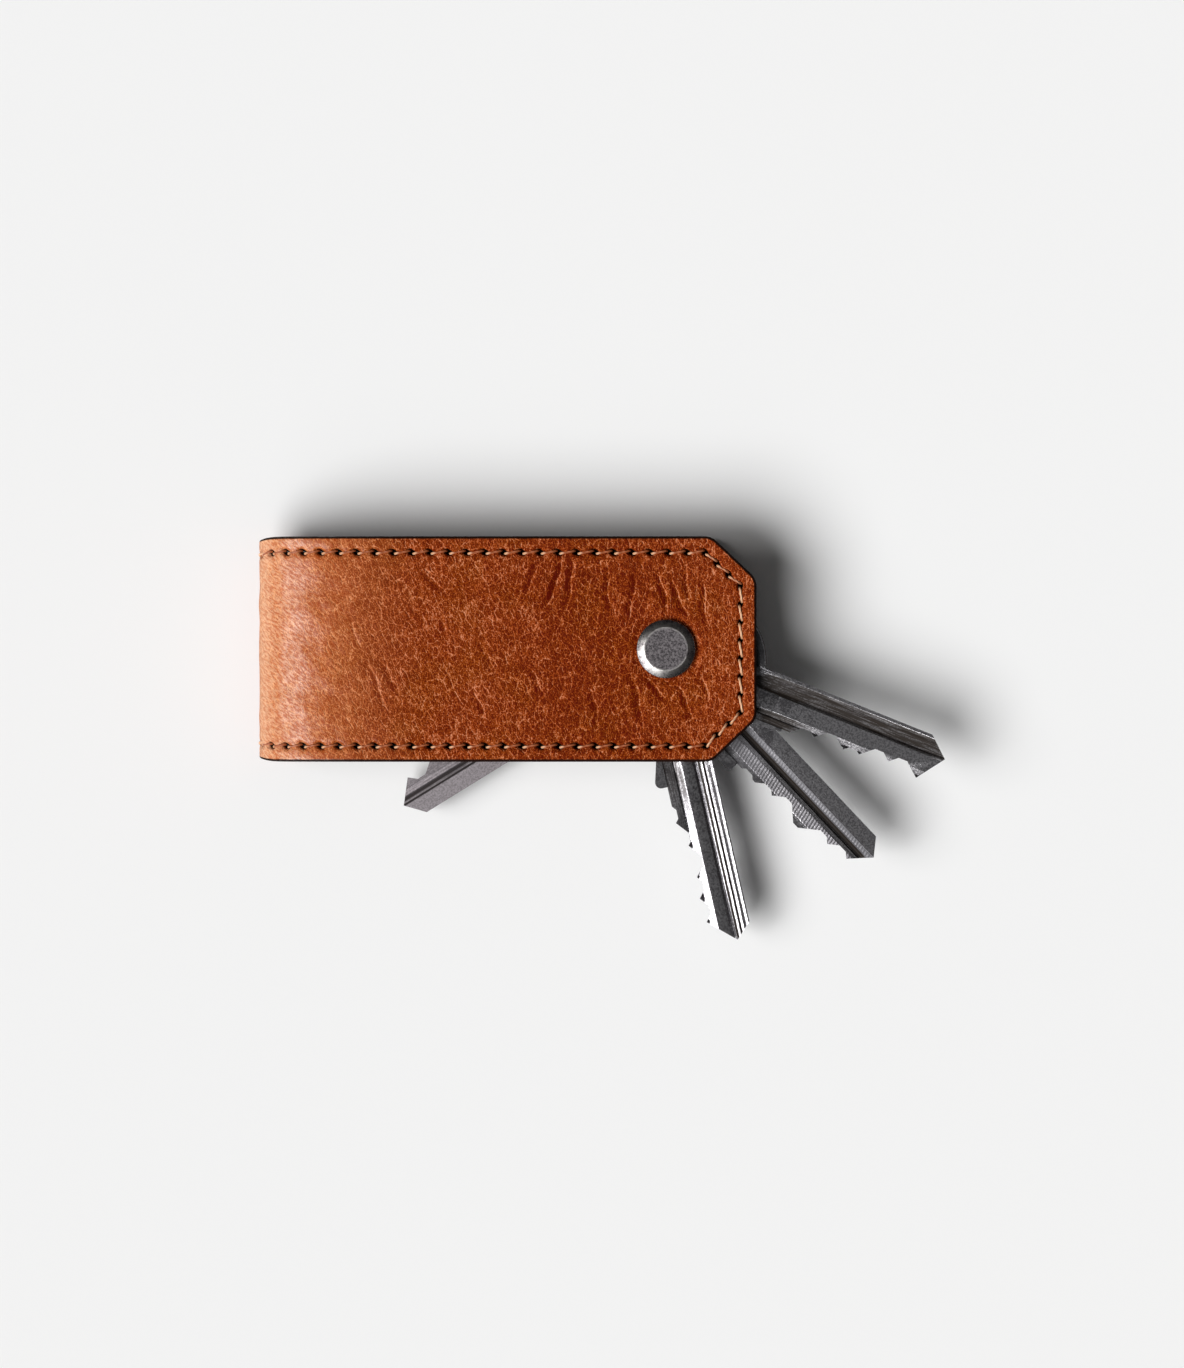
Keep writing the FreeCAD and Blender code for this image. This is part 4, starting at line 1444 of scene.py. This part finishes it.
@dataclass
class Post:
    """The screw post: a turned barrel with a broad bevelled head, and the slotted screw in it.

    Sizes are in millimetres, and the seat and the ends are heights. The flat's rim and the bevel's outer
    edge are worn in narrow bands, the edge by a share of the rim's wear.
    """

    head_seat: float = 15.7
    head_rim: float = 0.85
    head_height: float = 1.5
    head_radius: float = 4.9
    face_radius: float = 3.65
    barrel_radius: float = 3.0
    bore_radius: float = 2.0
    barrel_end: float = 1.2
    bore_end: float = 12.7
    edge_round: float = 0.16
    mouth_round: float = 0.1
    seat_round: float = 0.08
    arc_steps: int = 7
    turns: int = 128
    rim_wear: float = 0.14
    rim_depth: float = 0.25
    edge_wear: float = 0.1
    edge_share: float = 0.6
    edge_lift: float = 0.2
    sharp: float = 35.0
    screw_round: float = 0.12

    def barrel(self) -> Surface:
        """Turn the barrel's profile about the Z axis.

        Returns:
            The surface, with a worn value that peaks on the rim of the flat and a polish value that is
            full on the bevel.
        """
        top = self.head_seat + self.head_height
        outline = (
            (0.0, self.bore_end, 0.0),
            (self.bore_radius, self.bore_end, 0.0),
            (self.bore_radius, self.barrel_end, self.mouth_round),
            (self.barrel_radius, self.barrel_end, self.mouth_round),
            (self.barrel_radius, self.head_seat, 0.0),
            (self.head_radius, self.head_seat, self.seat_round),
            (self.head_radius, self.head_seat + self.head_rim, self.edge_round),
            (self.face_radius, top, self.edge_round),
            (self.face_radius - 2 * self.edge_round, top, 0.0),
            (0.0, top, 0.0),
        )
        corners, radii = np.split(np.array(outline), [2], axis=1)
        points, faces = lathe(rounded(corners, radii[:, 0], self.arc_steps), self.turns)
        radius, height = np.hypot(points[:, 0], points[:, 1]), points[:, 2]
        rim = np.exp(-(((radius - self.face_radius) / self.rim_wear) ** 2)) * (height > top - self.rim_depth)
        edge = self.edge_share * np.exp(-(((radius - self.head_radius) / self.edge_wear) ** 2))
        edge = edge * (height > self.head_seat + self.edge_lift)
        polish = (radius > self.face_radius + self.edge_round / 2).astype(float)
        return Surface(points, faces, {"worn": np.maximum(rim, edge), "polish": polish})

    def build(self) -> None:
        """Make and dress the barrel and the screw."""
        metal = PostMetal().material()
        dress(self.barrel().build("post_head", self.sharp), metal, "case", "post_barrel")
        screw = bevelled_copy("post_screw", "post_back", self.screw_round)
        dress(screw, metal, "case", "post_screw")


@dataclass
class Washers:
    """Thin nylon washers between the keys and against the leaves: a level is the height of a back face."""

    outer_radius: float = 6.0
    inner_radius: float = 3.08
    thickness: float = 0.4
    levels: Floats = (13.0, 10.4, 7.8, 5.2, 2.6)
    edge_round: float = 0.12
    arc_steps: int = 4
    turns: int = 96
    sharp: float = 40.0

    def ring(self, level: float) -> Surface:
        """Carry a rounded oblong round the Z axis.

        Args:
            level: height of the washer's back face.

        Returns:
            The closed ring.
        """
        front, start = level + self.thickness, self.inner_radius + 1
        corners = np.array([
            (start, level), (self.outer_radius, level), (self.outer_radius, front),
            (self.inner_radius, front), (self.inner_radius, level), (start, level),
        ])
        radii = np.array([0.0, *[self.edge_round] * 4, 0.0])
        return Surface(*lathe(rounded(corners, radii, self.arc_steps), self.turns))

    def build(self) -> None:
        """Make and dress the washers."""
        plastic = WasherPlastic().material()
        for place, level in enumerate(self.levels, start=1):
            piece = self.ring(level).build(f"washer_ring_{place}", self.sharp)
            dress(piece, plastic, "case", f"washer_{place}")


@dataclass
class Keys:
    """The four keys: CAD blanks with rounded edges, each with its own wear, grime and painted shade.

    Attributes:
        finishes: metal of each key, from the front leaf to the back one.
        edge_round: width of the rounding along their edges.
    """

    finishes: tuple[KeyMetal, ...] = (
        KeyMetal("key_1", -21.8, 12.85, 1.1, 1.25, grime_shade_from=0.0, ground=linear(194, 192, 195)),
        KeyMetal(
            "key_2", -46.6, 10.25, 0.7, 0.3,
            ribbed=((-3.3, -1.4), (0.5, 1.2)), shaded_corners=(0.14, -0.24), grime_and_shade=linear(112, 111, 115),
        ),
        KeyMetal("key_3", -77.2, 7.65, 0.1, 0.6, shaded_corners=(1.92, 1.19)),
        KeyMetal(
            "key_4", -148.3, 5.05, 0.6, 0.6, cut_reach=70.0, grime_shade_from=0.33, shaded_corners=(-0.74, -1.52),
            ground=linear(155, 149, 152), dull=linear(126, 120, 123),
            grime_and_shade=linear(58, 53, 53), corner_shade=linear(58, 53, 53), rough=0.48,
        ),
    )
    edge_round: float = 0.1

    def build(self) -> None:
        """Make and dress the keys."""
        for finish in self.finishes:
            piece = bevelled_copy(finish.name, f"{finish.name}_blank", self.edge_round)
            dress(piece, finish.material(), finish.name, finish.name)


@dataclass(frozen=True)
class Lamp:
    """A broad, far lamp.

    Attributes:
        name: its name.
        source: direction that the light comes from.
        elevation: its height above the floor in degrees.
        spread: its width in degrees.
        strength: its light on a face that looks at it.
    """

    name: str
    source: Pair
    elevation: float
    spread: float
    strength: float

    def build(self) -> None:
        """Hang the lamp."""
        data = bpy.data.lights.new(self.name, "SUN")
        data.energy = self.strength
        data.angle = math.radians(self.spread)
        azimuth = math.atan2(self.source[1], self.source[0])
        link(self.name, data).rotation_euler = (0.0, math.radians(90 - self.elevation), azimuth)


@dataclass
class Studio:
    """Camera straight above, pale floor and soft lamps.

    Attributes:
        view_height: height of the picture at the strap's face, in millimetres.
        middle: what lies in the middle of the picture.
        distance: the camera's height above the floor.
        far: how far the camera sees.
        face_level: height of the strap's face.
        floor_level: height of the floor.
        floor_reach: half the floor's width.
        world: brightness of the light from all round.
        lamps: the lamps.
    """

    view_height: float = 228.0
    middle: Pair = (-12.33, -5.83)
    distance: float = 2000.0
    far: float = 100000.0
    face_level: float = 16.0
    floor_level: float = -0.3
    floor_reach: float = 30000.0
    world: float = 0.03
    lamps: tuple[Lamp, ...] = (
        Lamp("front_lamp", (-0.81, -0.59), 51.0, 40.0, 2.7),
        Lamp("side_lamp", (-1.0, -0.08), 46.0, 32.0, 1.12),
        Lamp("low_lamp", (-0.34, -0.94), 36.0, 24.0, 0.15),
        Lamp("top_lamp", (0.0, -1.0), 88.0, 80.0, 0.13),
    )

    def build(self) -> None:
        """Set up the camera, the floor and the light."""
        self.camera()
        self.floor()
        for lamp in self.lamps:
            lamp.build()
        world = bpy.data.worlds.new("studio")
        world.use_nodes = True
        background = world.node_tree.nodes["Background"]
        background.inputs["Color"].default_value = (self.world, self.world, self.world, 1.0)
        scene = bpy.context.scene
        scene.world = world
        scene.view_settings.view_transform = "Standard"

    def camera(self) -> None:
        """Hang a long lens straight above the part."""
        data = bpy.data.cameras.new("camera")
        data.sensor_fit = "VERTICAL"
        data.sensor_height = 36.0
        data.lens = data.sensor_height * (self.distance - self.face_level) / self.view_height
        data.clip_end = self.far * MM
        camera = link("camera", data)
        camera.location = (self.middle[0] * MM, self.middle[1] * MM, self.distance * MM)
        bpy.context.scene.camera = camera

    def floor(self) -> None:
        """Lay the floor."""
        corners = np.array([(-1, -1), (1, -1), (1, 1), (-1, 1)]) * self.floor_reach
        points = np.column_stack([corners, np.full(4, self.floor_level)])
        mesh = bpy.data.meshes.new("floor")
        mesh.from_pydata((points * MM).tolist(), [], [[0, 1, 2, 3]])
        mesh.materials.append(FloorPaint().material())
        floor = link("floor", mesh)


def main() -> None:
    """Build the studio and the part."""
    logging.basicConfig(level=logging.INFO, format="%(name)s: %(message)s")
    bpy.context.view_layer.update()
    Studio().build()
    Case().build()
    Post().build()
    Washers().build()
    Keys().build()


if __name__ == "__main__":
    main()
